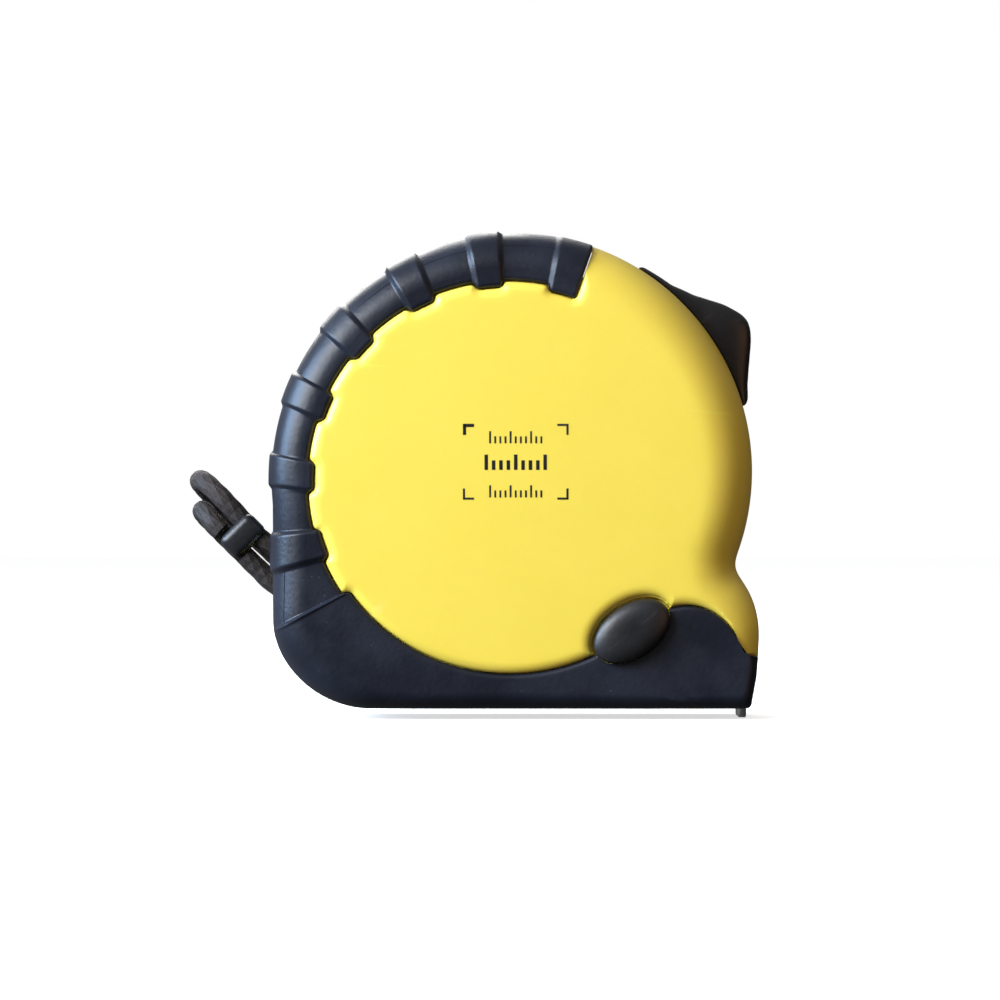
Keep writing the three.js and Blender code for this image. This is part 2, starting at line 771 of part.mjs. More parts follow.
/** The hand loop: out of the keeper, back behind the case, round on the floor and back. */
function wristCord() {
  return cordAlong([
    [-43.6, 0, 30.1], [-46.5, 0.3, 33.2], [-49.2, 3, 35.6], [-50.2, 8.5, 35.6], [-48.6, 14.5, 33.4],
    [-45.4, 20, 30], [-41.2, 25, 26], [-36.3, 29.5, 21], [-31, 34, 14], [-25.5, 38.5, 7.5],
    [-18.5, 43, 3.2], [-9, 46.5, 2.1], [2, 48, 2.1], [12, 47, 2.1], [20, 43, 2.1],
    [23.5, 37, 2.1], [20.5, 31.5, 2.1], [12.5, 29, 2.1], [2, 28.6, 2.1], [-8, 29, 2.1],
    [-17, 28.8, 2.6], [-25, 27.8, 6.5], [-32, 25.5, 12.5], [-38, 22.5, 18.5], [-43.2, 18, 23.6],
    [-47.4, 12.5, 28], [-49.6, 7, 30.6], [-49.2, 2.6, 30.9], [-47.6, 0.4, 29], [-46.1, 0, 27.6],
  ], 60);
}

/** The sleeve that pinches the strands together, at 45 degrees. */
function cordKeeper() {
  const half = [keeperLength / 2, keeperWidth / 2];
  const cut = 1;
  const outline = [
    [-half[0], -half[1] + cut],
    [-half[0] + cut, -half[1]],
    [half[0] - cut, -half[1]],
    [half[0], -half[1] + cut],
    [half[0], half[1] - cut],
    [half[0] - cut, half[1]],
    [-half[0] + cut, half[1]],
    [-half[0], half[1] - cut],
  ];
  const turn = Math.SQRT1_2;
  const { x, z } = keeperCentre;
  const placed = outline.map(([u, v]) => [x + (u + v) * turn, z + (v - u) * turn]);
  return plate(placed, -keeperDepth / 2, keeperDepth / 2, 0.5);
}

// ---------------------------------------------------------------------------------------------
// The assembly
// ---------------------------------------------------------------------------------------------
const finishes = {
  yellowPlastic: { color: 0xf2c413, roughness: 0.42, metalness: 0 },
  blackRubber: { color: 0x16181c, roughness: 0.7, metalness: 0 },
  blackPlastic: { color: 0x121315, roughness: 0.5, metalness: 0 },
  steel: { color: 0xb9bcc0, roughness: 0.3, metalness: 1 },
  springSteel: { color: 0x7c8087, roughness: 0.38, metalness: 1 },
  bladePaint: { color: 0xe9cf3a, roughness: 0.35, metalness: 0 },
  whitePlastic: { color: 0xdcdcd6, roughness: 0.5, metalness: 0 },
  cordFabric: { color: 0x17120f, roughness: 0.8, metalness: 0 },
};

const tapeMeasure = new THREE.Group();

function place(parent, name, finish, solid) {
  const mesh = new THREE.Mesh(toGeometry(solid), new THREE.MeshStandardMaterial(finishes[finish]));
  mesh.name = name;
  parent.add(mesh);
}

function assembly(pieces) {
  const group = new THREE.Group();
  pieces.forEach(([name, finish, solid]) => place(group, name, finish, solid));
  tapeMeasure.add(group);
}

const shell = shellSolid();
const grip = gripSolid();

assembly([
  ['front_shell', 'yellowPlastic', front(shell)],
  ['rear_shell', 'yellowPlastic', rear(shell)],
  ['front_grip', 'blackRubber', front(grip)],
  ['rear_grip', 'blackRubber', rear(grip)],
  ['mouth_wear_plate', 'steel', mouthWearPlate()],
  ['mouth_bumper', 'blackRubber', mouthBumper()],
  ...caseScrews.map((centre, i) => [`case_screw_${i + 1}`, 'steel', caseScrew(centre)]),
]);

assembly([
  ['centre_post', 'whitePlastic', centrePost()],
  ['post_washer_front', 'whitePlastic', postWasher(-1)],
  ['post_washer_rear', 'whitePlastic', postWasher(1)],
  ['reel_drum', 'whitePlastic', reelDrum()],
  ['reel_cover', 'whitePlastic', reelCover()],
  ['power_spring', 'springSteel', powerSpring()],
  ['spring_hook_plate', 'steel', springHookPlate()],
]);

assembly([
  ['blade_coil', 'bladePaint', bladeCoil()],
  ['blade_lead', 'bladePaint', bladeLead()],
  ['blade_tongue', 'bladePaint', bladeTongue()],
  ['end_hook', 'steel', endHook()],
  ['hook_rivet_left', 'steel', hookRivet(rivetCentres[0])],
  ['hook_rivet_right', 'steel', hookRivet(rivetCentres[1])],
]);

assembly([
  ['thumb_lock', 'blackPlastic', thumbLock()],
  ['lock_arm', 'blackPlastic', lockArm()],
  ['lock_brake_pad', 'blackRubber', lockBrakePad()],
  ['lock_detent_spring', 'springSteel', lockDetentSpring()],
  ['side_button', 'blackPlastic', sideButton()],
  ['side_brake_shoe', 'blackPlastic', sideBrakeShoe()],
  ['button_spring', 'springSteel', buttonSpring()],
]);

assembly([
  ['belt_clip', 'steel', beltClip()],
  ['clip_screw', 'steel', clipScrew()],
  ['strap_pin', 'steel', strapPin()],
  ['cord_anchor_loop', 'cordFabric', cordAnchorLoop()],
  ['cord_keeper', 'blackPlastic', cordKeeper()],
  ['wrist_cord', 'cordFabric', wristCord()],
]);

export default tapeMeasure;
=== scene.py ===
"""Looks of a pocket tape measure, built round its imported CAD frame.

The case is a yellow hard shell in two halves, each in a ribbed rubber grip. Sizes are in millimetres
and are turned into metres as each mesh is made. X runs to the mouth, Y to the belt clip, Z up.
"""

import logging
import math
from dataclasses import dataclass, field
from enum import Enum
from typing import Callable, Sequence

import bmesh
import bpy
import numpy as np
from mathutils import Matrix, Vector
from mathutils.geometry import delaunay_2d_cdt


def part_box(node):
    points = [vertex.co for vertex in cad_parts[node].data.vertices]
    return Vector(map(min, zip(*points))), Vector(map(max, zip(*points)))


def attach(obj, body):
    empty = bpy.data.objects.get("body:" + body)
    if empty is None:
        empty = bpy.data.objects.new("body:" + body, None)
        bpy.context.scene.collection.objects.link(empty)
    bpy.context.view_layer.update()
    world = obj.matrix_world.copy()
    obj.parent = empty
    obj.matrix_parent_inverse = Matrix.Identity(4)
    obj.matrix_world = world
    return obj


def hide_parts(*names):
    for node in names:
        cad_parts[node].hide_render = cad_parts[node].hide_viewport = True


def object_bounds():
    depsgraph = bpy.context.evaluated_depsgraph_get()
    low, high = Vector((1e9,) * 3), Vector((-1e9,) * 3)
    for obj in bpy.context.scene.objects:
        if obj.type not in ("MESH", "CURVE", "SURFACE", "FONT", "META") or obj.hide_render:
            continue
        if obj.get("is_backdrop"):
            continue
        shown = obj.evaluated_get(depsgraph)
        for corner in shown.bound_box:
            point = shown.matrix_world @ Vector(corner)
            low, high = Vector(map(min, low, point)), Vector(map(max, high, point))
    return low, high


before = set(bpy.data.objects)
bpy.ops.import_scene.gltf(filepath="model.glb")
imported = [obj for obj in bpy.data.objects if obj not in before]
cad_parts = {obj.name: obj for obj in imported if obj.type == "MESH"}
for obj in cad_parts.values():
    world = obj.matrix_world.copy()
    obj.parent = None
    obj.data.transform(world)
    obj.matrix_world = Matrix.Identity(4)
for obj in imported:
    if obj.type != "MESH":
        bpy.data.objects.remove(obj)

MM = 0.001
SMOOTH_ANGLE = math.radians(34)
log = logging.getLogger("tape_measure")
Point2 = tuple[float, float]


class Side(Enum):
    """Which half of the case a piece belongs to."""

    FRONT = -1
    REAR = 1

    @property
    def word(self) -> str:
        """The half's name, as the CAD nodes use it."""
        return self.name.lower()


class Body(Enum):
    """The moving bodies that pieces ride on."""

    CASE = "case"
    REEL = "reel"
    BLADE = "blade"
    HOOK = "hook"
    LOCK = "lock"
    BUTTON = "button"


class Slot(Enum):
    """The record's material slots."""

    YELLOW = "case_yellow"
    RUBBER = "grip_rubber"
    BLACK = "black_plastic"
    PALE = "pale_plastic"
    STEEL = "bright_steel"
    SPRING = "spring_steel"
    BLADE = "blade_paint"
    CORD = "cord_fabric"


# ---------------------------------------------------------------------------------------------
# Shader groups shared by the finishes
# ---------------------------------------------------------------------------------------------


class Nodes:
    """A short way to add and link nodes in one tree."""

    def __init__(self, tree: bpy.types.NodeTree) -> None:
        """Args: tree: the material's or the group's node tree."""
        self.tree = tree

    def add(self, kind: str, settings: dict | None = None, **inputs: object) -> bpy.types.Node:
        """Adds a node.

        Args:
            kind: the node's type name without the ShaderNode prefix.
            settings: the node's own properties.
            inputs: socket values or sockets to link, by socket name with spaces as underscores.

        Returns:
            The node.
        """
        node = self.tree.nodes.new("ShaderNode" + kind)
        for key, value in (settings or {}).items():
            setattr(node, key, value)
        for key, value in inputs.items():
            name = key.replace("_", " ")
            socket = node.inputs[int(key[1:])] if key[0] == "i" and key[1:].isdigit() else node.inputs[name]
            self.feed(socket, value)
        return node

    def feed(self, socket: bpy.types.NodeSocket, value: object) -> None:
        """Links a socket to the input, or sets its value."""
        if isinstance(value, bpy.types.NodeSocket):
            self.tree.links.new(value, socket)
        else:
            socket.default_value = value

    def math(self, operation: str, a: object, b: object = 0.0) -> bpy.types.NodeSocket:
        """A math node's result."""
        return self.add("Math", {"operation": operation}, i0=a, i1=b).outputs[0]

    def ramp(self, value: object, low: float, high: float, to_low: float = 0.0, to_high: float = 1.0):
        """Maps a value from one range smoothly to another, held at both ends."""
        settings = {"interpolation_type": "SMOOTHSTEP"}
        node = self.add(
            "MapRange", settings, Value=value, From_Min=low, From_Max=high, To_Min=to_low, To_Max=to_high
        )
        return node.outputs["Result"]

    def mix(self, factor: object, a: object, b: object) -> bpy.types.NodeSocket:
        """Mixes two colours."""
        node = self.add("Mix", {"data_type": "RGBA"})
        self.feed(node.inputs[0], factor)
        self.feed(node.inputs[6], a)
        self.feed(node.inputs[7], b)
        return node.outputs[2]


class SurfaceEffects:
    """Node groups that more than one finish uses, each built once."""

    def __init__(self) -> None:
        """Builds every group."""
        self.grain = self._group("grain", {"Scale": 1400.0, "Soft": 0.5}, ("Height",), self._grain)
        self.mottle = self._group("mottle", {"Scale": 60.0}, ("Mask",), self._mottle)
        self.dust = self._group("dust", {"Scale": 900.0, "Amount": 0.5}, ("Mask",), self._dust)
        self.scratches = self._group("scratches", {"Scale": 40.0, "Angle": 0.4}, ("Mask",), self._scratches)
        self.edge_wear = self._group("edge_wear", {"Start": 0.52, "End": 0.6}, ("Mask",), self._edge_wear)
        self.brushing = self._group("brushing", {"Scale": 300.0}, ("Height",), self._brushing)

    @staticmethod
    def _group(name: str, inputs: dict[str, float], outputs: Sequence[str], fill: Callable):
        """Makes an empty group with named sockets and has it filled.

        Args:
            name: the group's name.
            inputs: each input's name and starting value.
            outputs: each output's name.
            fill: takes the node helper and the input node, and returns one socket per output.

        Returns:
            The node group.
        """
        tree = bpy.data.node_groups.new(name, "ShaderNodeTree")
        for key, value in inputs.items():
            socket = tree.interface.new_socket(name=key, in_out="INPUT", socket_type="NodeSocketFloat")
            socket.default_value = value
        for key in outputs:
            tree.interface.new_socket(name=key, in_out="OUTPUT", socket_type="NodeSocketFloat")
        nodes = Nodes(tree)
        entry = tree.nodes.new("NodeGroupInput")
        leave = tree.nodes.new("NodeGroupOutput")
        for key, socket in zip(outputs, fill(nodes, entry)):
            tree.links.new(socket, leave.inputs[key])
        return tree

    @staticmethod
    def _place(nodes: Nodes) -> bpy.types.NodeSocket:
        """The piece's own coordinates."""
        return nodes.add("TexCoord").outputs["Object"]

    def _grain(self, nodes: Nodes, entry: bpy.types.Node) -> tuple:
        """Fine pebbled texture: rounded cells softened by noise."""
        place = self._place(nodes)
        cells = nodes.add("TexVoronoi", {"feature": "SMOOTH_F1"}, Vector=place, Scale=entry.outputs["Scale"])
        fine = nodes.add("TexNoise", Vector=place, Scale=entry.outputs["Scale"], Detail=3.0)
        soft = nodes.math("MULTIPLY", fine.outputs["Fac"], entry.outputs["Soft"])
        return (nodes.math("ADD", cells.outputs["Distance"], soft),)

    def _mottle(self, nodes: Nodes, entry: bpy.types.Node) -> tuple:
        """Broad soft patches, for handling marks and moulding flow."""
        noise = nodes.add(
            "TexNoise", Vector=self._place(nodes), Scale=entry.outputs["Scale"], Detail=4.0, Roughness=0.6
        )
        return (nodes.ramp(noise.outputs["Fac"], 0.35, 0.7),)

    def _dust(self, nodes: Nodes, entry: bpy.types.Node) -> tuple:
        """Sparse small specks, gathered in patches."""
        place = self._place(nodes)
        specks = nodes.add("TexVoronoi", {"feature": "F1"}, Vector=place, Scale=entry.outputs["Scale"])
        near = nodes.ramp(specks.outputs["Distance"], 0.16, 0.06)
        patches = nodes.add("TexNoise", Vector=place, Scale=140.0, Detail=2.0)
        wanted = nodes.ramp(patches.outputs["Fac"], 0.55, 0.72)
        kept = nodes.math("MULTIPLY", near, wanted)
        return (nodes.math("MULTIPLY", kept, entry.outputs["Amount"]),)

    def _scratches(self, nodes: Nodes, entry: bpy.types.Node) -> tuple:
        """A few long hairline scratches at a slant."""
        turn = nodes.add("CombineXYZ", Y=entry.outputs["Angle"])
        turned = nodes.add(
            "Mapping", {"vector_type": "POINT"}, Vector=self._place(nodes), Rotation=turn.outputs[0],
            Scale=(0.12, 1.0, 2.2),
        )
        lines = nodes.add(
            "TexVoronoi", {"feature": "DISTANCE_TO_EDGE"}, Vector=turned.outputs[0],
            Scale=entry.outputs["Scale"],
        )
        thin = nodes.ramp(lines.outputs["Distance"], 0.012, 0.002)
        broken = nodes.add("TexNoise", Vector=turned.outputs[0], Scale=90.0, Detail=2.0)
        return (nodes.math("MULTIPLY", thin, nodes.ramp(broken.outputs["Fac"], 0.56, 0.66)),)

    def _edge_wear(self, nodes: Nodes, entry: bpy.types.Node) -> tuple:
        """Where the surface turns outwards sharply, broken up by noise."""
        point = nodes.add("NewGeometry").outputs["Pointiness"]
        edge = nodes.add(
            "MapRange", Value=point, From_Min=entry.outputs["Start"], From_Max=entry.outputs["End"]
        ).outputs["Result"]
        noise = nodes.add("TexNoise", Vector=self._place(nodes), Scale=700.0, Detail=4.0)
        return (nodes.math("MULTIPLY", edge, nodes.ramp(noise.outputs["Fac"], 0.35, 0.6)),)

    def _brushing(self, nodes: Nodes, entry: bpy.types.Node) -> tuple:
        """Fine lines along X, as left by brushing or rolling."""
        drawn = nodes.add("Mapping", Vector=self._place(nodes), Scale=(0.04, 1.0, 1.0))
        noise = nodes.add("TexNoise", Vector=drawn.outputs[0], Scale=entry.outputs["Scale"], Detail=5.0)
        return (noise.outputs["Fac"],)


# ---------------------------------------------------------------------------------------------
# Finishes
# ---------------------------------------------------------------------------------------------

Colour = tuple[float, float, float]


def rgba(colour: Colour) -> tuple[float, float, float, float]:
    """A colour with full alpha."""
    return (*colour, 1.0)


@dataclass(frozen=True)
class Finish:
    """A material: one main colour with detail at the scale of the real surface."""

    name: str
    colour: Colour
    variant: Colour
    roughness: float
    rough_spread: float = 0.08
    metallic: float = 0.0
    grain_scale: float = 1400.0
    grain_depth: float = 0.00001
    wear_colour: Colour | None = None
    wear: float = 0.0
    dust: float = 0.0
    scratch: float = 0.0
    brushed: bool = False
    coat: float = 0.0
    subsurface: float = 0.0
    specular: float = 0.5
    sheen: float = 0.0

    def build(self, effects: SurfaceEffects) -> bpy.types.Material:
        """Makes the material.

        Args:
            effects: the shared node groups.

        Returns:
            The material.
        """
        material = bpy.data.materials.new(self.name)
        material.use_nodes = True
        nodes = Nodes(material.node_tree)
        shader = material.node_tree.nodes["Principled BSDF"]
        shader.inputs["Metallic"].default_value = self.metallic
        shader.inputs["Coat Weight"].default_value = self.coat
        shader.inputs["Coat Roughness"].default_value = 0.25
        shader.inputs["Specular IOR Level"].default_value = self.specular
        shader.inputs["Sheen Weight"].default_value = self.sheen
        shader.inputs["Sheen Roughness"].default_value = 0.5
        if self.subsurface:
            shader.inputs["Subsurface Weight"].default_value = self.subsurface
            shader.inputs["Subsurface Radius"].default_value = (0.9, 0.5, 0.1)
            shader.inputs["Subsurface Scale"].default_value = 0.0015
        mottle = self._place(nodes, effects.mottle, Scale=70.0)
        colour = self.base_colour(nodes, nodes.mix(mottle, rgba(self.colour), rgba(self.variant)))
        smoothest, roughest = self.roughness - self.rough_spread, self.roughness + self.rough_spread
        rough = nodes.ramp(mottle, 0.0, 1.0, smoothest, roughest)
        if self.wear:
            worn = nodes.math("MULTIPLY", self._place(nodes, effects.edge_wear), self.wear)
            colour = nodes.mix(worn, colour, rgba(self.wear_colour or self.variant))
        if self.scratch:
            marks = nodes.math("MULTIPLY", self._place(nodes, effects.scratches), self.scratch)
            colour = nodes.mix(marks, colour, rgba(tuple(min(1.0, c * 1.5 + 0.05) for c in self.colour)))
            rough = nodes.math("ADD", rough, nodes.math("MULTIPLY", marks, 0.2))
        if self.dust:
            specks = self._place(nodes, effects.dust, Amount=self.dust)
            colour = nodes.mix(specks, colour, (0.42, 0.42, 0.44, 1.0))
            rough = nodes.math("ADD", rough, nodes.math("MULTIPLY", specks, 0.3))
        if self.brushed:
            height = self._place(nodes, effects.brushing)
        else:
            height = self._place(nodes, effects.grain, Scale=self.grain_scale)
        bump = nodes.add("Bump", Height=self.relief(nodes, height), Distance=self.grain_depth, Strength=1.0)
        nodes.feed(shader.inputs["Base Color"], colour)
        nodes.feed(shader.inputs["Roughness"], rough)
        nodes.feed(shader.inputs["Normal"], bump.outputs[0])
        return material

    def base_colour(self, nodes: Nodes, colour: bpy.types.NodeSocket) -> bpy.types.NodeSocket:
        """The colour before wear; a finish with a printed pattern adds it here."""
        return colour

    def relief(self, nodes: Nodes, height: bpy.types.NodeSocket) -> bpy.types.NodeSocket:
        """The height that the bump reads; a woven finish adds its weave here."""
        return height

    @staticmethod
    def _place(nodes: Nodes, group: bpy.types.NodeTree, **values: float) -> bpy.types.NodeSocket:
        """Puts a shared group in the material and returns its one output."""
        node = nodes.add("Group")
        node.node_tree = group
        for key, value in values.items():
            node.inputs[key].default_value = value
        return node.outputs[0]


@dataclass(frozen=True)
class ScaleFinish(Finish):
    """The blade's lacquer with its printed millimetre scale along X."""

    first_mark: float = 0.0

    def base_colour(self, nodes: Nodes, colour: bpy.types.NodeSocket) -> bpy.types.NodeSocket:
        """Adds the printed marks: short, middle and long, on both edges of the blade."""
        split = nodes.add("SeparateXYZ", Vector=nodes.add("TexCoord").outputs["Object"])
        along = nodes.math("SUBTRACT", self.first_mark, split.outputs["X"])
        edge = nodes.math("SUBTRACT", 0.0095, nodes.math("ABSOLUTE", split.outputs["Y"]))
        ink = None
        for pitch, length in ((0.001, 0.0026), (0.005, 0.0042), (0.01, 0.0062)):
            phase = nodes.math("PINGPONG", along, pitch / 2)
            line = nodes.math("LESS_THAN", phase, 0.00011)
            mark = nodes.math("MULTIPLY", line, nodes.math("LESS_THAN", edge, length))
            ink = mark if ink is None else nodes.math("MAXIMUM", ink, mark)
        return nodes.mix(ink, colour, (0.01, 0.01, 0.012, 1.0))


@dataclass(frozen=True)
class BraidFinish(Finish):
    """A braided sleeve, its strands following the cord's own UV map."""

    def relief(self, nodes: Nodes, height: bpy.types.NodeSocket) -> bpy.types.NodeSocket:
        """Adds crossing strands to the fine fuzz."""
        split = nodes.add("SeparateXYZ", Vector=nodes.add("TexCoord").outputs["UV"])
        waves = []
        for way in (1.0, -1.0):
            round_it = nodes.math("MULTIPLY", split.outputs["X"], 8.0 * way)
            slant = nodes.math("ADD", round_it, nodes.math("MULTIPLY", split.outputs["Y"], 1.0))
            waves.append(nodes.math("PINGPONG", slant, 0.5))
        weave = nodes.math("MULTIPLY", nodes.math("MAXIMUM", *waves), 6.0)
        return nodes.math("ADD", weave, height)


class FinishRack:
    """Every finish of the tape, built when first asked for."""

    def __init__(self) -> None:
        """Builds the shared groups."""
        self.effects = SurfaceEffects()
        self._made: dict[str, bpy.types.Material] = {}
        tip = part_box("blade_tongue")[1].x
        finishes = (
            Finish(
                "satin_yellow", (0.9, 0.71, 0.095), (0.88, 0.69, 0.08), 0.4, 0.05, grain_scale=2400.0,
                grain_depth=0.000004, scratch=0.15, dust=0.06, subsurface=0.12, coat=0.1,
                wear=0.25, wear_colour=(1.0, 0.86, 0.3),
            ),
            Finish(
                "soft_rubber", (0.005, 0.007, 0.014), (0.008, 0.0115, 0.023), 0.44, 0.06,
                grain_scale=1500.0, grain_depth=0.00002, wear=0.3, wear_colour=(0.035, 0.04, 0.055),
                dust=0.12, specular=0.38,
            ),
            Finish(
                "black_moulding", (0.006, 0.0065, 0.008), (0.01, 0.0105, 0.013), 0.4, 0.06,
                grain_scale=1700.0, grain_depth=0.000012, wear=0.25, wear_colour=(0.04, 0.04, 0.045),
                dust=0.2,
            ),
            Finish(
                "pale_moulding", (0.68, 0.67, 0.61), (0.6, 0.59, 0.54), 0.45, grain_scale=1500.0,
                dust=0.4, subsurface=0.1,
            ),
            Finish(
                "nickel_steel", (0.58, 0.59, 0.6), (0.46, 0.46, 0.47), 0.28, 0.08, metallic=1.0,
                grain_depth=0.000004, brushed=True, wear=0.4, wear_colour=(0.8, 0.8, 0.8), dust=0.3,
            ),
            Finish(
                "blued_steel", (0.2, 0.22, 0.26), (0.12, 0.11, 0.12), 0.34, 0.08, metallic=1.0,
                grain_depth=0.000004, brushed=True, dust=0.2,
            ),
            ScaleFinish(
                "scale_lacquer", (0.9, 0.68, 0.04), (0.87, 0.65, 0.035), 0.3, 0.05, grain_depth=0.000003,
                coat=0.4, scratch=0.5, first_mark=tip,
            ),
            BraidFinish(
                "braided_cord", (0.011, 0.008, 0.007), (0.024, 0.015, 0.012), 0.7, 0.08,
                grain_scale=3500.0, grain_depth=0.00004, dust=0.15,
            ),
            Finish("print_ink", (0.01, 0.01, 0.012), (0.016, 0.016, 0.018), 0.4, grain_depth=0.000003),
        )
        self._finishes = {finish.name: finish for finish in finishes}

    def get(self, name: str) -> bpy.types.Material:
        """The material of that name."""
        if name not in self._made:
            self._made[name] = self._finishes[name].build(self.effects)
        return self._made[name]


# ---------------------------------------------------------------------------------------------
# Modelling
# ---------------------------------------------------------------------------------------------


class Bench:
    """Modelling steps that every piece uses."""

    def __init__(self, rack: FinishRack) -> None:
        """Args: rack: the finishes."""
        self.rack = rack

    @staticmethod
    def deselect() -> None:
        """Leaves nothing selected and no edit mode open."""
        if bpy.context.object and bpy.context.object.mode != "OBJECT":
            bpy.ops.object.mode_set(mode="OBJECT")
        bpy.ops.object.select_all(action="DESELECT")

    def pick(self, piece: bpy.types.Object) -> None:
        """Selects one piece alone and makes it active."""
        self.deselect()
        piece.select_set(True)
        bpy.context.view_layer.objects.active = piece

    def start(self, primitive: str, name: str, **settings: object) -> bpy.types.Object:
        """Adds a primitive at its size and place, as a new piece.

        Args:
            primitive: the operator's name, such as cube or cylinder.
            name: the piece's name.
            settings: the operator's settings.

        Returns:
            The new object.
        """
        self.deselect()
        getattr(bpy.ops.mesh, f"primitive_{primitive}_add")(**settings)
        piece = bpy.context.object
        piece.name = name
        piece.data.name = name
        return piece

    def block(self, name: str, low: Sequence[float], high: Sequence[float]) -> bpy.types.Object:
        """A box between two corners in millimetres."""
        centre = [(a + b) / 2 * MM for a, b in zip(low, high)]
        piece = self.start("cube", name, size=1.0, location=centre)
        piece.scale = [(b - a) * MM for a, b in zip(low, high)]
        return self.settle(piece)

    def rod(
        self, name: str, centre: Point2, radius: float, y_from: float, y_to: float, sides: int = 64
    ) -> bpy.types.Object:
        """A cylinder along Y, in millimetres."""
        place = (centre[0] * MM, (y_from + y_to) / 2 * MM, centre[1] * MM)
        piece = self.start(
            "cylinder", name, vertices=sides, radius=radius * MM, depth=abs(y_to - y_from) * MM,
            location=place, rotation=(math.pi / 2, 0, 0),
        )
        return self.settle(piece)

    def settle(self, piece: bpy.types.Object) -> bpy.types.Object:
        """Puts the object's place, turn and size into its mesh."""
        self.pick(piece)
        bpy.ops.object.transform_apply(location=True, rotation=True, scale=True)
        return piece

    def from_mesh(self, name: str, points: np.ndarray, faces: Sequence[Sequence[int]]) -> bpy.types.Object:
        """A piece from points in millimetres and faces."""
        mesh = bpy.data.meshes.new(name)
        mesh.from_pydata((np.asarray(points, float) * MM).tolist(), [], [list(map(int, f)) for f in faces])
        mesh.validate()
        piece = bpy.data.objects.new(name, mesh)
        bpy.context.collection.objects.link(piece)
        return piece

    def apply(self, piece: bpy.types.Object, kind: str, **settings: object) -> bpy.types.Object:
        """Adds a modifier and applies it."""
        self.pick(piece)
        modifier = piece.modifiers.new(kind.lower(), kind)
        for key, value in settings.items():
            setattr(modifier, key, value)
        bpy.ops.object.modifier_apply(modifier=modifier.name)
        return piece

    def bevel(
        self, piece: bpy.types.Object, width: float, segments: int = 3, angle: float = 30
    ) -> bpy.types.Object:
        """Rounds the edges sharper than an angle, by a width in millimetres."""
        return self.apply(
            piece, "BEVEL", width=width * MM, segments=segments, limit_method="ANGLE",
            angle_limit=math.radians(angle), use_clamp_overlap=True,
        )

    def combine(self, piece: bpy.types.Object, other: bpy.types.Object, operation: str) -> bpy.types.Object:
        """Cuts, joins or intersects a piece with another, which is used up."""
        before = len(piece.data.polygons)
        self.apply(piece, "BOOLEAN", object=other, operation=operation, solver="MANIFOLD")
        if len(piece.data.polygons) in (0, before) and operation != "UNION":
            log.warning("%s: %s with %s changed nothing", piece.name, operation, other.name)
        bpy.data.objects.remove(other)
        return piece

    def cut(self, piece: bpy.types.Object, *others: bpy.types.Object) -> bpy.types.Object:
        """Cuts each of the others out of a piece."""
        for other in others:
            self.combine(piece, other, "DIFFERENCE")
        return piece

    def finish(
        self, piece: bpy.types.Object, finish: str, slot: Slot, body: Body, *nodes: str,
        angle: float = SMOOTH_ANGLE,
    ) -> bpy.types.Object:
        """Smooths, dresses and mounts a finished piece.

        Args:
            piece: the piece, its place already in its mesh.
            finish: the finish's name.
            slot: the record's material slot; not used.
            body: the body that it rides on.
            nodes: the CAD nodes that it stands for.
            angle: edges sharper than this stay sharp.

        Returns:
            The piece.
        """
        self.pick(piece)
        bpy.ops.object.shade_smooth_by_angle(angle=angle)
        piece.data.materials.clear()
        piece.data.materials.append(self.rack.get(finish))
        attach(piece, body.value)
        if nodes:
            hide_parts(*nodes)
        log.info("%s: %d faces on %s", piece.name, len(piece.data.polygons), body.value)
        return piece


def smoothstep(x: np.ndarray | float, low: float, high: float) -> np.ndarray:
    """0 below low, 1 above high, smooth between."""
    t = np.clip((np.asarray(x, float) - low) / (high - low), 0, 1)
    return t * t * (3 - 2 * t)


def round_off(distance: np.ndarray, width: float, height: float) -> np.ndarray:
    """How far a rounded edge lies below its face, at a distance in from the edge."""
    t = np.clip(1 - np.asarray(distance, float) / width, 0, 1)
    return height * (1 - np.sqrt(np.clip(1 - t * t, 0, 1)))


# ---------------------------------------------------------------------------------------------
# The case's form
# ---------------------------------------------------------------------------------------------


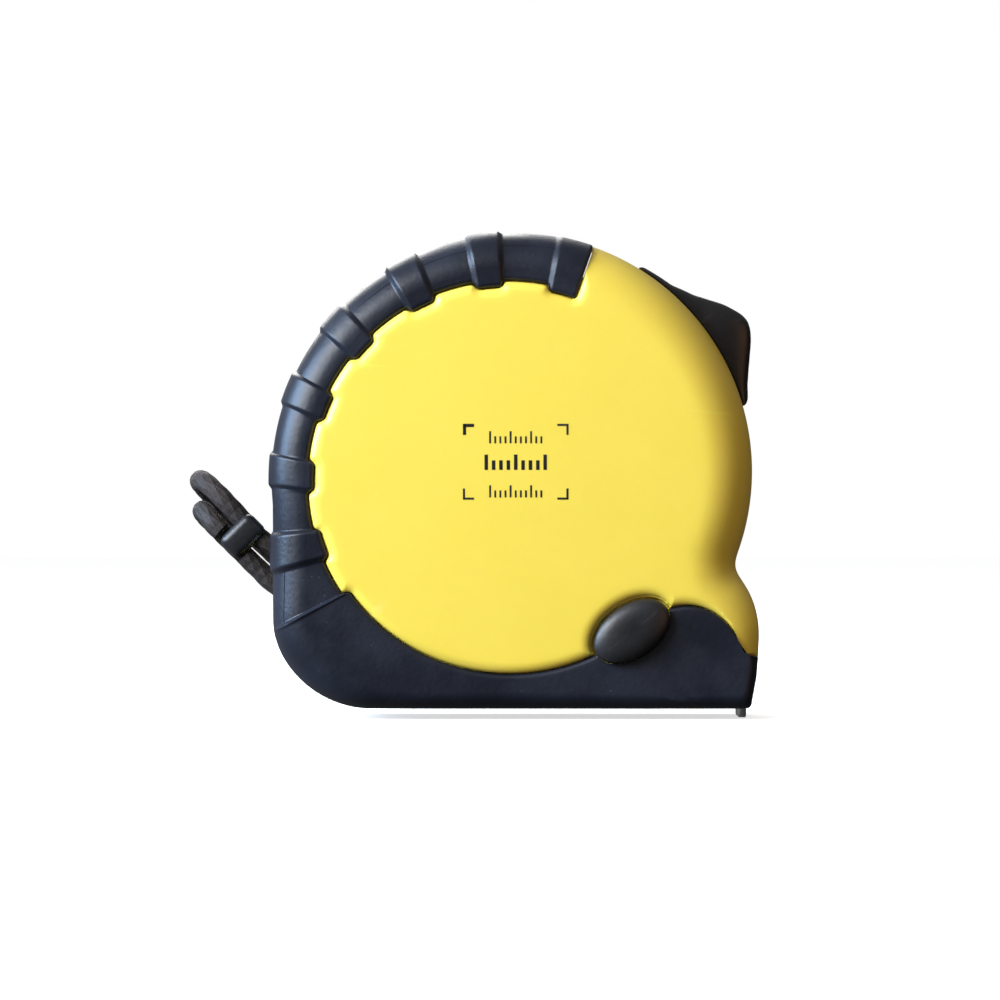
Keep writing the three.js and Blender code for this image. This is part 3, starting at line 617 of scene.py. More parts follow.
@dataclass(frozen=True)
class CaseForm:
    """The case's sizes and outlines, in millimetres, round the reel's axis.

    The outlines are side views, as arrays of [x, z]. Angles are in degrees from +X, and turn
    towards +Z.
    """

    nose_reach: float
    case_half: float
    grip_half: float
    part_front: float
    part_rear: float
    rib_middles: tuple[float, ...] = (75.0, 97.6, 118.9, 140.9, 161.3, 181.6, 200.8)
    rib_half: float = 4.9
    rib_rise: float = 0.5
    rib_lean: float = 2.3
    notch_depth: float = 1.0
    band_inset: float = 6.15
    plateau_inset: float = 6.7
    grip_wall: float = 2.3
    boot_angle: float = 215.6
    boot_top: float = 14.0
    heel_length: float = 14.6
    heel_reach: float = 8.3
    nose_belly: float = 11.5
    nose_top: float = 14.6
    tip_height: float = 7.9
    notch_angle: float = -23.5
    arch_radius: float = 8.4
    low_angle: float = 308.0

    @classmethod
    def from_frame(cls) -> "CaseForm":
        """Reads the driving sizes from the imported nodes."""
        shell_low, shell_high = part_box("front_shell")
        grip_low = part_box("front_grip")[0]
        rear_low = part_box("rear_shell")[0]
        return cls(
            nose_reach=shell_high.x / MM, case_half=-shell_low.y / MM, grip_half=-grip_low.y / MM,
            part_front=shell_high.y / MM, part_rear=rear_low.y / MM,
        )

    @property
    def radius(self) -> float:
        """The yellow rim's radius."""
        return self.nose_reach - 1.0

    @property
    def centre(self) -> np.ndarray:
        """The reel's axis."""
        return np.array([0.0, self.radius - 0.3])

    @property
    def grip_centre(self) -> np.ndarray:
        """The centre of the grip's round back."""
        return self.centre + np.array([0.5, -1.2])

    @property
    def plateau_centre(self) -> np.ndarray:
        """The centre of the yellow plateau's round edge along the boot."""
        return self.centre + np.array([-0.6, -0.9])

    @property
    def band_centre(self) -> np.ndarray:
        """The centre of the plateau's round edge along the ribs."""
        return self.centre + np.array([-0.9, -1.6])

    @property
    def arch_centre(self) -> np.ndarray:
        """The centre of the arch over the nose."""
        return np.array([self.nose_reach - 11.5, 7.8])

    @property
    def core_half(self) -> float:
        """Half the thickness of the hard core under the grip."""
        return self.case_half - 2.7

    @property
    def cavity_half(self) -> float:
        """Half the width of the reel's room."""
        return self.core_half - 2.1

    @property
    def cavity_radius(self) -> float:
        """The radius of the reel's room."""
        return self.radius - 6.2

    @property
    def side_x(self) -> float:
        """The boot's upright side."""
        return -self.radius - 0.4

    @property
    def grip_end(self) -> float:
        """The angle where the grip ends on top."""
        return self.rib_middles[0] - 4.5

    def part(self, side: Side) -> float:
        """The parting plane, measured outwards from the blade's middle."""
        return -self.part_front if side is Side.FRONT else self.part_rear

    def ray(self, angles: np.ndarray, reach: np.ndarray) -> np.ndarray:
        """Points at distances from the case's centre."""
        turn = np.radians(angles)
        return self.centre + np.stack([np.cos(turn) * reach, np.sin(turn) * reach], -1)

    def reach(self, angles: np.ndarray, centre: np.ndarray, radius: float) -> np.ndarray:
        """Distance from the case's centre to a circle."""
        turn = np.radians(np.asarray(angles, float))
        u = np.stack([np.cos(turn), np.sin(turn)], -1)
        d = centre - self.centre
        along = u @ d
        return along + np.sqrt(radius**2 - (d @ d - along**2))

    def ribs(self, angles: np.ndarray, width: float) -> np.ndarray:
        """1 on a rib block and 0 between, with flanks that are `width` degrees wide."""
        level = np.zeros(len(angles))
        for k, middle in enumerate(self.rib_middles):
            off = np.asarray(angles) - middle
            rising = smoothstep(off, -self.rib_half, -self.rib_half + width) if k else 1.0
            level = np.maximum(level, rising * (1 - smoothstep(off, self.rib_half - width, self.rib_half)))
        return level

    def _outer_table(self) -> tuple[np.ndarray, np.ndarray]:
        """The grip's outer edge without ribs, as angles and distances from the case's centre."""
        angles = np.linspace(self.grip_end - 4, 212, 400)
        upright = np.where(angles > 180, self.side_x / np.cos(np.radians(angles)), 0.0)
        band = self.ray(angles, np.maximum(self.reach(angles, self.grip_centre, self.radius + 1.1), upright))
        toe = self.heel_length - self.radius
        t = np.linspace(0, 1, 60)[:, None]
        side = self.side_x
        a, b = np.array([side, self.boot_top]), np.array([side, self.boot_top / 2])
        c, d = np.array([toe - self.heel_reach, 0.2]), np.array([toe, 0])
        heel = a * (1 - t) ** 3 + 3 * b * t * (1 - t) ** 2 + 3 * c * t * t * (1 - t) + d * t**3
        foot = self.nose_reach - 1.3
        corners = np.array([
            [toe, 0], [foot - 1.4, 0], [foot - 0.35, 0.12], [foot, 0.6], [self.nose_reach - 0.5, 5],
            [self.nose_reach, self.nose_belly], [self.nose_reach, self.nose_top],
        ])
        base = np.vstack([np.linspace(p, q, 60, endpoint=False) for p, q in zip(corners[:-1], corners[1:])])
        line = np.vstack([band, heel, base]) - self.centre
        found = np.degrees(np.arctan2(line[:, 1], line[:, 0])) % 360
        order = np.argsort(found)
        return found[order], np.hypot(line[:, 0], line[:, 1])[order]

    def outer(self, angles: np.ndarray) -> np.ndarray:
        """Distance from the case's centre to the grip's outer edge, ribs left out."""
        table = self._outer_table()
        return np.interp(np.asarray(angles, float) % 360, *table)

    def inner(self, angles: np.ndarray, flank: float = 1.5) -> np.ndarray:
        """Distance from the case's centre to the plateau's edge, with its notches."""
        band = self.reach(angles, self.band_centre, self.radius - self.band_inset)
        band -= self.notch_depth * self.ribs(angles, flank)
        boot = self.reach(angles, self.plateau_centre, self.radius - self.plateau_inset)
        share = smoothstep(angles, self.boot_angle - 0.4, self.boot_angle + 1.0)
        return band * (1 - share) + boot * share

    def lean(self, angles: np.ndarray) -> np.ndarray:
        """How far each column of the grip leans back from its ray, in degrees."""
        return self.rib_lean * smoothstep(angles, 80, 210) * (1 - smoothstep(angles, 218, 246))

    def arch(self, turns: np.ndarray) -> np.ndarray:
        """Points on the arch over the nose."""
        turn = np.radians(turns)
        return self.arch_centre + self.arch_radius * np.stack([np.cos(turn), np.sin(turn)], -1)

    def seam_angles(self) -> np.ndarray:
        """Angles for the grip's columns: close together on flanks and at the crease."""
        edges = []
        for middle in self.rib_middles:
            edges += [middle - self.rib_half, middle + self.rib_half - 1.5]
        fine = [np.linspace(e - 0.4, e + 1.9, 15) for e in edges[1:]]
        crease = np.linspace(self.boot_angle - 1.2, self.boot_angle + 1.8, 25)
        start = self.grip_end + np.array([0, 0.05, 0.15, 0.3, 0.5, 0.75, 1.0, 1.3])
        coarse = np.arange(self.grip_end + 2, self.low_angle, 1.1)
        near = np.concatenate([*fine, crease])
        coarse = coarse[np.min(np.abs(coarse[:, None] - near[None]), axis=1) > 0.35]
        angles = np.unique(np.round(np.concatenate([start, near, coarse, [self.low_angle]]), 3))
        return angles[(angles >= self.grip_end) & (angles <= self.low_angle)]

    def seam(self) -> np.ndarray:
        """The line between yellow and grip, from the top round the back to the nose's tip."""
        angles = self.seam_angles()
        inner = self.inner(angles)
        reaches = np.linspace(self.radius - 0.3, inner[0] + 0.4, 24)
        end = self.ray(np.full(24, self.grip_end), reaches)
        return np.vstack([end, self.ray(angles, inner), self.arch(np.linspace(145, 5, 60))])

    def rim(self) -> np.ndarray:
        """The yellow's open edge, from the nose's tip up over the notch to the grip's end."""
        edge = np.array([[self.nose_reach - 0.2, self.tip_height], [self.nose_reach, self.nose_belly]])
        lower = np.linspace(edge[0], edge[1], 10, endpoint=False)
        start = self.ray(np.array([self.notch_angle]), np.array([self.radius]))[0]
        a, b = edge[1], np.array([self.nose_reach + 0.1, self.nose_top + 2.6])
        t = np.linspace(0, 1, 30)[:, None]
        belly = a * (1 - t) ** 2 + 2 * b * t * (1 - t) + (start + [0.35, -0.7]) * t * t
        over = np.arange(self.notch_angle + 1.0, self.grip_end, 0.7)
        arc = self.ray(over, np.full(len(over), self.radius))
        return np.vstack([lower, belly, arc, self.ray(np.array([self.grip_end]), np.array([self.radius]))])


def respace(line: np.ndarray, spacing: float) -> np.ndarray:
    """A line's points at even spacing, its ends kept."""
    along = travelled(line)
    count = max(2, int(round(along[-1] / spacing)))
    at = np.linspace(0, along[-1], count + 1)
    return np.stack([np.interp(at, along, line[:, k]) for k in (0, 1)], -1)


def travelled(line: np.ndarray) -> np.ndarray:
    """The distance along a line at each of its points."""
    return np.concatenate([[0], np.cumsum(np.hypot(*np.diff(line, axis=0).T))])


def normals(line: np.ndarray) -> np.ndarray:
    """Unit vectors to the left of a line at each of its points."""
    step = np.gradient(line, axis=0)
    return np.stack([-step[:, 1], step[:, 0]], -1) / np.hypot(*step.T)[:, None]


def soften(line: np.ndarray, reach: int) -> np.ndarray:
    """A line with its corners rounded by averaging each point with its neighbours."""
    kernel = np.hanning(2 * reach + 3)[1:-1]
    padded = np.vstack([line[:1].repeat(reach, 0), line, line[-1:].repeat(reach, 0)])
    columns = [np.convolve(padded[:, k], kernel / kernel.sum(), mode="valid") for k in (0, 1)]
    return np.vstack([line[:1], np.stack(columns, -1)[1:-1], line[-1:]])


def distance_to(points: np.ndarray, line: np.ndarray) -> np.ndarray:
    """The distance of each point from a line of short segments."""
    a, b = line[:-1], line[1:]
    ab = b - a
    scale = np.maximum((ab**2).sum(-1), 1e-12)
    found = np.empty(len(points))
    for first in range(0, len(points), 2000):
        p = points[first : first + 2000, None]
        t = np.clip(((p - a) * ab).sum(-1) / scale, 0, 1)
        found[first : first + 2000] = np.sqrt((((a + ab * t[..., None]) - p) ** 2).sum(-1)).min(1)
    return found


def inside(points: np.ndarray, outline: np.ndarray) -> np.ndarray:
    """Which points lie inside a closed outline."""
    x, z = points[:, 0, None], points[:, 1, None]
    a, b = outline, np.roll(outline, -1, axis=0)
    crosses = (a[:, 1] > z) != (b[:, 1] > z)
    rise = np.where(np.abs(b[:, 1] - a[:, 1]) < 1e-12, 1e-12, b[:, 1] - a[:, 1])
    left = x < (b[:, 0] - a[:, 0]) * (z - a[:, 1]) / rise + a[:, 0]
    return (crosses & left).sum(1) % 2 == 1


def enclosed(points: np.ndarray, faces: list, loop: Sequence[int], seed: np.ndarray) -> list:
    """The faces of a triangulated plane that a loop of vertices encloses, spreading from a seed point."""
    walls = {frozenset(pair) for pair in zip(loop, [*loop[1:], loop[0]])}
    beside: dict[frozenset, list[int]] = {}
    for index, (a, b, c) in enumerate(faces):
        for side in ((a, b), (b, c), (c, a)):
            beside.setdefault(frozenset(side), []).append(index)
    middles = points[np.array(faces)].mean(1)
    waiting = [int(np.argmin(np.hypot(*(middles - seed).T)))]
    kept = set(waiting)
    while waiting:
        a, b, c = faces[waiting.pop()]
        for side in (frozenset((a, b)), frozenset((b, c)), frozenset((c, a))):
            if side not in walls:
                found = [index for index in beside[side] if index not in kept]
                kept.update(found)
                waiting += found
    return [faces[index] for index in sorted(kept)]


# ---------------------------------------------------------------------------------------------
# The hard shells
# ---------------------------------------------------------------------------------------------


@dataclass
class HardShells:
    """The two yellow case halves: plateau, rounded rim, nose and the core under the grip."""

    form: CaseForm
    bench: Bench
    seam_gap: float = 0.12
    button_gap: float = 0.45
    seam_round: float = 1.6
    seam_depth: float = 1.1
    rim_widths: tuple[float, float] = (7.4, 4.6)
    rim_depths: tuple[float, float] = (8.6, 5.2)
    nose_share: float = 0.4
    core_inset: float = 6.0
    dome: float = 0.45
    mesh_step: float = 1.7
    seam: np.ndarray = field(init=False)
    rim: np.ndarray = field(init=False)
    button: np.ndarray = field(init=False)
    edge: np.ndarray = field(init=False)

    def __post_init__(self) -> None:
        """Lays out the seam, the open rim, the line round the button and the whole edge."""
        seam = soften(respace(self.form.seam(), 0.33), 2)
        self.seam = seam + normals(seam) * self.seam_gap
        self.rim = soften(respace(self.form.rim(), 0.5), 5)
        oval = Oval(node_centre("side_button")).outline(self.button_gap + 0.1)
        self.button = np.vstack([oval, oval[:1]])
        self.edge = np.vstack([self.rim, self.seam])

    def rim_size(self, side: Side) -> tuple[float, float]:
        """The rounded rim's width and depth; the rear's is smaller, round its screws."""
        index = 0 if side is Side.FRONT else 1
        return self.rim_widths[index], self.rim_depths[index]

    def height(self, points: np.ndarray, side: Side) -> np.ndarray:
        """How far the yellow face stands out from the blade's middle plane."""
        form = self.form
        off = np.hypot(*(points - form.centre).T) / form.radius
        face = form.case_half - self.dome * off**2
        width, depth = self.rim_size(side)
        cheek = self.nose_share * (1 - smoothstep(points[:, 1], form.nose_belly, form.nose_belly + 11))
        rim = round_off(distance_to(points, self.rim), width, 1.0) * depth * (1 - cheek)
        seam = round_off(distance_to(points, self.seam), self.seam_round, self.seam_depth)
        button = round_off(distance_to(points, self.button), self.seam_round, self.seam_depth)
        button = np.where(inside(points, self.button), self.seam_depth, button)
        return face - np.maximum(np.maximum(rim, seam), button)

    def _face_points(self, side: Side) -> np.ndarray:
        """Points inside the outline: rings along its edges, and a wide grid between."""
        rings = []
        rim_width = self.rim_size(side)[0]
        for line, width, count in ((self.rim, rim_width, 11), (self.seam, self.seam_round, 6)):
            normal = normals(line)
            depths = width * (1 - np.cos(np.linspace(0, math.pi / 2, count + 1)[1:]))
            if line is self.seam:
                depths = np.concatenate([depths, [width + 0.5]])
            for depth in depths:
                ring = (line + normal * depth)[:: 1 if depth < 1.6 else 2]
                kept = distance_to(ring, line) > depth * 0.97
                other = self.seam if line is self.rim else self.rim
                rings.append(ring[kept & (distance_to(ring, other) > 0.25)])
        oval = Oval(node_centre("side_button"))
        for depth in (0, 0.12, 0.3, 0.55, 0.85, 1.2, 1.7, 2.2):
            rings.append(oval.outline(self.button_gap + 0.1 + depth, 90))
        step = self.mesh_step
        grid = np.stack(
            np.meshgrid(np.arange(-40, 40, step), np.arange(0, 80, step * math.sqrt(3) / 2)), -1
        )
        grid[1::2, :, 0] += step / 2
        grid = grid.reshape(-1, 2)
        clear = (distance_to(grid, self.rim) > rim_width + 0.5) & (
            distance_to(grid, self.seam) > self.seam_round + 0.9
        )
        clear &= distance_to(grid, self.button) > self.seam_round + 1.1
        points = np.vstack([*rings, grid[clear]])
        points = points[inside(points, self.edge)]
        points = points[distance_to(points, np.vstack([self.edge, self.edge[:1]])) > 0.04]
        cell = np.round(points / 0.11).astype(int)
        _, first = np.unique(cell, axis=0, return_index=True)
        return points[np.sort(first)]

    def _relief(self, side: Side) -> bpy.types.Object:
        """The yellow body, solid from its face to the parting plane."""
        edge = self.edge
        points = np.vstack([edge, self._face_points(side)])
        ring = [(i, (i + 1) % len(edge)) for i in range(len(edge))]
        found = delaunay_2d_cdt([Vector(p) for p in points], ring, [], 1, 1e-5, True)
        flat = np.array([(v.x, v.y) for v in found[0]])
        origin = {source: i for i, sources in enumerate(found[3]) for source in sources}
        loop = [origin[i] for i in range(len(edge))]
        faces = enclosed(flat, [tuple(f) for f in found[2]], loop, self.form.centre)
        top = self.height(flat, side)
        back = self.form.part(side)
        count = len(flat)
        levels = [np.column_stack([flat[:, 0], top, flat[:, 1]])]
        levels.append(np.column_stack([flat[:, 0], np.full(count, back), flat[:, 1]]))
        wall_rows = 5
        for row in range(1, wall_rows):
            share = row / wall_rows
            level = top[loop] * (1 - share) + back * share
            levels.append(np.column_stack([flat[loop, 0], level, flat[loop, 1]]))
        solid = np.vstack(levels)
        rows = [loop]
        for row in range(1, wall_rows):
            rows.append([2 * count + (row - 1) * len(loop) + i for i in range(len(loop))])
        rows.append([count + i for i in loop])
        all_faces = list(faces) + [tuple(i + count for i in reversed(f)) for f in faces]
        for upper, lower in zip(rows[:-1], rows[1:]):
            for i in range(len(loop)):
                j = (i + 1) % len(loop)
                all_faces.append((upper[j], upper[i], lower[i], lower[j]))
        solid[:, 1] *= side.value
        if side is Side.REAR:
            all_faces = [tuple(reversed(f)) for f in all_faces]
        return self.bench.from_mesh(f"{side.word}_shell_yellow", solid, all_faces)

    def build(self, side: Side) -> bpy.types.Object:
        """Builds one case half.

        Args:
            side: which half.

        Returns:
            The finished piece.
        """
        form, bench = self.form, self.bench
        shell = self._relief(side)
        outward(shell)
        angles = np.arange(0, 360, 2.0)
        rim = self.rim - form.centre
        turned = (angles + 180) % 360 - 180
        open_edge = np.interp(turned, np.degrees(np.arctan2(rim[:, 1], rim[:, 0])), np.hypot(*rim.T))
        edge = np.where((turned > -30) & (turned < form.grip_end), open_edge, form.outer(angles))
        inset = np.where((turned > -37) & (turned < form.grip_end), self.core_inset, form.grip_wall)
        core = Prism(form.ray(angles, edge - inset), form.part(side), form.core_half, side)
        bench.combine(shell, core.make(bench, "core"), "UNION")
        bench.cut(shell, *CaseOpenings(form, bench).for_shell(side))
        return bench.finish(shell, "satin_yellow", Slot.YELLOW, Body.CASE, f"{side.word}_shell")


def outward(piece: bpy.types.Object) -> None:
    """Turns every face of a closed piece outwards."""
    mesh = bmesh.new()
    mesh.from_mesh(piece.data)
    bmesh.ops.recalc_face_normals(mesh, faces=mesh.faces[:])
    if mesh.calc_volume(signed=True) < 0:
        bmesh.ops.reverse_faces(mesh, faces=mesh.faces[:])
    mesh.to_mesh(piece.data)
    mesh.free()


@dataclass(frozen=True)
class Prism:
    """An outline given thickness outwards from the blade's middle plane."""

    outline: np.ndarray
    near: float
    far: float
    side: Side

    def make(self, bench: Bench, name: str) -> bpy.types.Object:
        """Builds the solid."""
        count = len(self.outline)
        points = [
            (x, level * self.side.value, z) for level in (self.near, self.far) for x, z in self.outline
        ]
        faces = [tuple(range(count)), tuple(range(2 * count - 1, count - 1, -1))]
        faces += [(i, (i + 1) % count, (i + 1) % count + count, i + count) for i in range(count)]
        piece = bench.from_mesh(name, np.array(points), faces)
        outward(piece)
        return piece


@dataclass(frozen=True)
class Oval:
    """The side button's tilted oval."""

    centre: Point2
    long: float = 6.6
    short: float = 4.15
    tilt: float = math.radians(34)

    def outline(self, grow: float = 0.0, count: int = 96) -> np.ndarray:
        """Points round the oval, grown by a distance."""
        turn = np.linspace(0, 2 * math.pi, count, endpoint=False)
        return self.at((self.long + grow) * np.cos(turn), (self.short + grow) * np.sin(turn))

    def at(self, a: np.ndarray, b: np.ndarray) -> np.ndarray:
        """Points from distances along the oval's two axes."""
        x = self.centre[0] + a * math.cos(self.tilt) - b * math.sin(self.tilt)
        z = self.centre[1] + a * math.sin(self.tilt) + b * math.cos(self.tilt)
        return np.stack([x, z], -1)


@dataclass(frozen=True)
class CaseOpenings:
    """Cutters for the rooms and holes that shells and grips share."""

    form: CaseForm
    bench: Bench
    mouth_height: float = 8.6
    mouth_half: float = 11.0
    floor_top: float = 3.9
    passage_half: float = 10.3
    slot_half: float = 2.9
    slot_turn: tuple[float, float] = (16.5, 39.5)
    well_radius: float = 2.9
    pocket_half: tuple[float, float] = (6.5, 5.5)
    cord_width: float = 3.2
    button_travel: float = 1.6
    stem_shrink: float = 1.4
    clearance: float = 0.3
    beyond: float = 30.0

    def _far(self, side: Side, near: float, far: float) -> tuple[float, float]:
        """Two outward levels as y values, low one first."""
        return tuple(sorted((near * side.value, far * side.value)))

    def mouth(self) -> bpy.types.Object:
        """The window in the nose that the blade and hook use."""
        low, high = self.form.radius - 4.3, self.form.nose_reach + 2
        half = self.mouth_half
        return self.bench.block("mouth", (low, -half, -1), (high, half, self.mouth_height))

    def pocket(self) -> bpy.types.Object:
        """The pocket that the wrist cord's pin lies in."""
        pin_low, pin_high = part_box("strap_pin")
        middle = (pin_low.z + pin_high.z) / 2 / MM
        back = pin_high.x / MM + 2 * self.clearance + self.cord_width
        side = self.form.side_x - 3
        wide, tall = self.pocket_half
        return self.bench.block("pocket", (side, -wide, middle - tall), (back, wide, middle + tall))

    def screw_wells(self, side: Side) -> list[bpy.types.Object]:
        """The wells that the case screws' heads sit in."""
        if side is Side.FRONT:
            return []
        low, high = self.form.core_half, self.beyond
        centres = [node_centre(f"case_screw_{k}") for k in (1, 2, 3)]
        return [self.bench.rod("well", centre, self.well_radius, low, high) for centre in centres]

    def button(self, side: Side, grow: float) -> list[bpy.types.Object]:
        """The oval recess that the button sits in."""
        if side is Side.REAR:
            return []
        oval = Oval(node_centre("side_button"))
        bottom = self.form.core_half - self.clearance
        return [Prism(oval.outline(grow), bottom, self.beyond, side).make(self.bench, "recess")]

    def stem_room(self, side: Side) -> list[bpy.types.Object]:
        """The hole that the button's stem slides in, with room for its travel."""
        if side is Side.REAR:
            return []
        oval = Oval(node_centre("side_button"))
        stem_end = -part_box("side_button")[1].y / MM
        near = stem_end - self.button_travel - self.clearance
        outline = oval.outline(-self.stem_shrink)
        return [Prism(outline, near, self.form.core_half + 0.2, side).make(self.bench, "stem_room")]

    def for_shell(self, side: Side) -> list[bpy.types.Object]:
        """All the cutters of a case half."""
        form, bench = self.form, self.bench
        low, high = self._far(side, form.part(side) - 1, form.cavity_half)
        room = bench.rod("room", tuple(form.centre), form.cavity_radius, low, high, 160)
        near = form.part(side) - 1
        passage_low, passage_high = self._far(side, near, self.passage_half)
        passage = bench.block(
            "passage", (-6, passage_low, self.floor_top), (form.radius - 3.3, passage_high, self.mouth_height)
        )
        turn = np.radians(np.linspace(*self.slot_turn, 12))
        rays = np.stack([np.cos(turn), np.sin(turn)], -1)
        ring = np.vstack([rays * (form.radius + 1), rays[::-1] * (form.cavity_radius - 1)]) + form.centre
        slot = Prism(ring, near, self.slot_half, side).make(bench, "slot")
        cutters = [room, passage, self.mouth(), self.pocket(), slot, *self.screw_wells(side)]
        return cutters + self.button(side, 0.4) + self.stem_room(side)

    def for_grip(self, side: Side) -> list[bpy.types.Object]:
        """All the cutters of a grip half."""
        return [self.mouth(), self.pocket(), *self.screw_wells(side), *self.button(side, 0.12)]


def quads(rows: int, columns: int) -> list[tuple[int, int, int, int]]:
    """The faces between neighbouring rings of points, each ring closed."""
    faces = []
    for row in range(rows - 1):
        for k in range(columns):
            a, b = row * columns + k, row * columns + (k + 1) % columns
            faces.append((a, b, b + columns, a + columns))
    return faces


def slab(rows: int, columns: int) -> list[tuple[int, ...]]:
    """The faces of a thin solid, from a sheet of points row by row and then its other sheet."""
    size = rows * columns
    faces = []
    for row in range(rows - 1):
        for k in range(columns - 1):
            a = row * columns + k
            faces.append((a, a + 1, a + columns + 1, a + columns))
            faces.append((a + size, a + size + columns, a + size + columns + 1, a + size + 1))
    border = list(range(columns)) + [row * columns + columns - 1 for row in range(1, rows)]
    border += [(rows - 1) * columns + k for k in range(columns - 2, -1, -1)]
    border += [row * columns for row in range(rows - 2, 0, -1)]
    for a, b in zip(border, border[1:] + border[:1]):
        faces.append((b, a, a + size, b + size))
    return faces


def box_mm(node: str) -> tuple[Vector, Vector]:
    """A CAD node's low and high corners, in millimetres."""
    low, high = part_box(node)
    return low / MM, high / MM


def node_centre(node: str) -> Point2:
    """The middle of a CAD node in side view, in millimetres."""
    low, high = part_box(node)
    return ((low.x + high.x) / 2 / MM, (low.z + high.z) / 2 / MM)


# ---------------------------------------------------------------------------------------------
# The rubber grips
# ---------------------------------------------------------------------------------------------


@dataclass
class RubberGrips:
    """The two overmoulded grip halves: ribs, bands, boot and the arch over the nose."""

    form: CaseForm
    bench: Bench
    seam_gap: float = 0.06
    inner_round: float = 0.7
    back_round: float = 5.6
    base_round: float = 2.6
    face_rise: float = 0.55
    boot_rise: float = 0.5
    end_round: float = 0.55
    wall: float = 2.0

    def _columns(self) -> tuple[np.ndarray, ...]:
        """For each column: seam point, outer point, rise of the face and of the rim, and base share."""
        form = self.form
        angles = form.seam_angles()
        inner = form.ray(angles, form.inner(angles))
        arch = form.arch(np.linspace(145, 5, 60))
        tail = np.linspace(form.low_angle, 322.9, 61)[1:]
        angles = np.concatenate([angles, tail])
        rise = form.ribs(angles, 1.5)
        rise = rise * smoothstep(angles, 70, 100)
        behind = angles - form.lean(angles)
        outer = form.ray(behind, form.outer(behind) + form.rib_rise * rise)
        inner = np.vstack([inner, arch])
        boot = smoothstep(angles, form.boot_angle - 0.35, form.boot_angle + 0.35)
        bead = np.exp(-(((angles - form.boot_angle - 0.35) / 0.35) ** 2))
        face = np.maximum(self.face_rise * form.ribs(angles, 1.8), self.boot_rise * boot + 0.2 * bead)
        base = smoothstep(angles, 222, 250)
        return angles, inner, outer, face, base

    def _section(self, width: float, face: float, rounding: float, part: float, end: float) -> list[Point2]:
        """The grip's closed cross-section as (distance out from the seam, level) points."""
        form = self.form
        foot = form.core_half + 0.15
        top = face - end
        outer = width - end
        r = self.inner_round
        depth = rounding * 1.15
        points: list[Point2] = [(0.0, foot), (0.0, (foot + top - r) / 2)]
        for k in range(6):
            turn = math.radians(18 * k)
            points.append((r * (1 - math.cos(turn)), top - r + r * math.sin(turn)))
        flat = max(outer - rounding, r + 0.3)
        for k in range(1, 9):
            points.append((r + (flat - r) * k / 9, top))
        span = outer - flat
        for k in range(13):
            turn = math.radians(7.5 * k)
            points.append((flat + span * math.sin(turn), top - depth + depth * math.cos(turn)))
        low = top - depth
        for k in range(1, 5):
            points.append((outer, low + (part + 0.25 - low) * k / 5))
        points += [(outer, part + 0.25), (outer - 0.08, part + 0.08), (outer - 0.25, part)]
        inside_wall = max(outer - self.wall, 0.6)
        points += [(inside_wall, part), (inside_wall, (part + foot) / 2), (inside_wall, foot)]
        return points

    def build(self, side: Side) -> bpy.types.Object:
        """Builds one grip half.

        Args:
            side: which half.

        Returns:
            The finished piece.
        """
        form = self.form
        angles, inner, outer, rise, base = self._columns()
        away = (outer - inner) / np.hypot(*(outer - inner).T)[:, None]
        along = travelled(outer)
        start_drop = round_off(along, self.end_round, self.end_round)
        stop_drop = round_off(along[-1] - along, 0.3, 0.3)
        inner = inner + away * self.seam_gap
        band = form.grip_half - self.face_rise
        points, size = [], 0
        for i in range(len(angles)):
            width = float(np.hypot(*(outer[i] - inner[i])))
            rounding = self.back_round * (1 - base[i]) + self.base_round * base[i]
            rounding = min(rounding, width - self.inner_round - 0.4)
            end = float(max(start_drop[i], stop_drop[i]))
            section = self._section(width, band + rise[i], rounding, form.part(side), end)
            size = len(section)
            for out, level in section:
                x, z = inner[i] + away[i] * out
                points.append((x, level * side.value, z))
        faces = [*quads(len(angles), size), tuple(range(size))]
        faces.append(tuple(range((len(angles) - 1) * size, len(angles) * size)))
        grip = self.bench.from_mesh(f"{side.word}_grip_rubber", np.array(points), faces)
        outward(grip)
        self.bench.cut(grip, *CaseOpenings(form, self.bench).for_grip(side))
        return self.bench.finish(grip, "soft_rubber", Slot.RUBBER, Body.CASE, f"{side.word}_grip")


# ---------------------------------------------------------------------------------------------
# Lock and button
# ---------------------------------------------------------------------------------------------


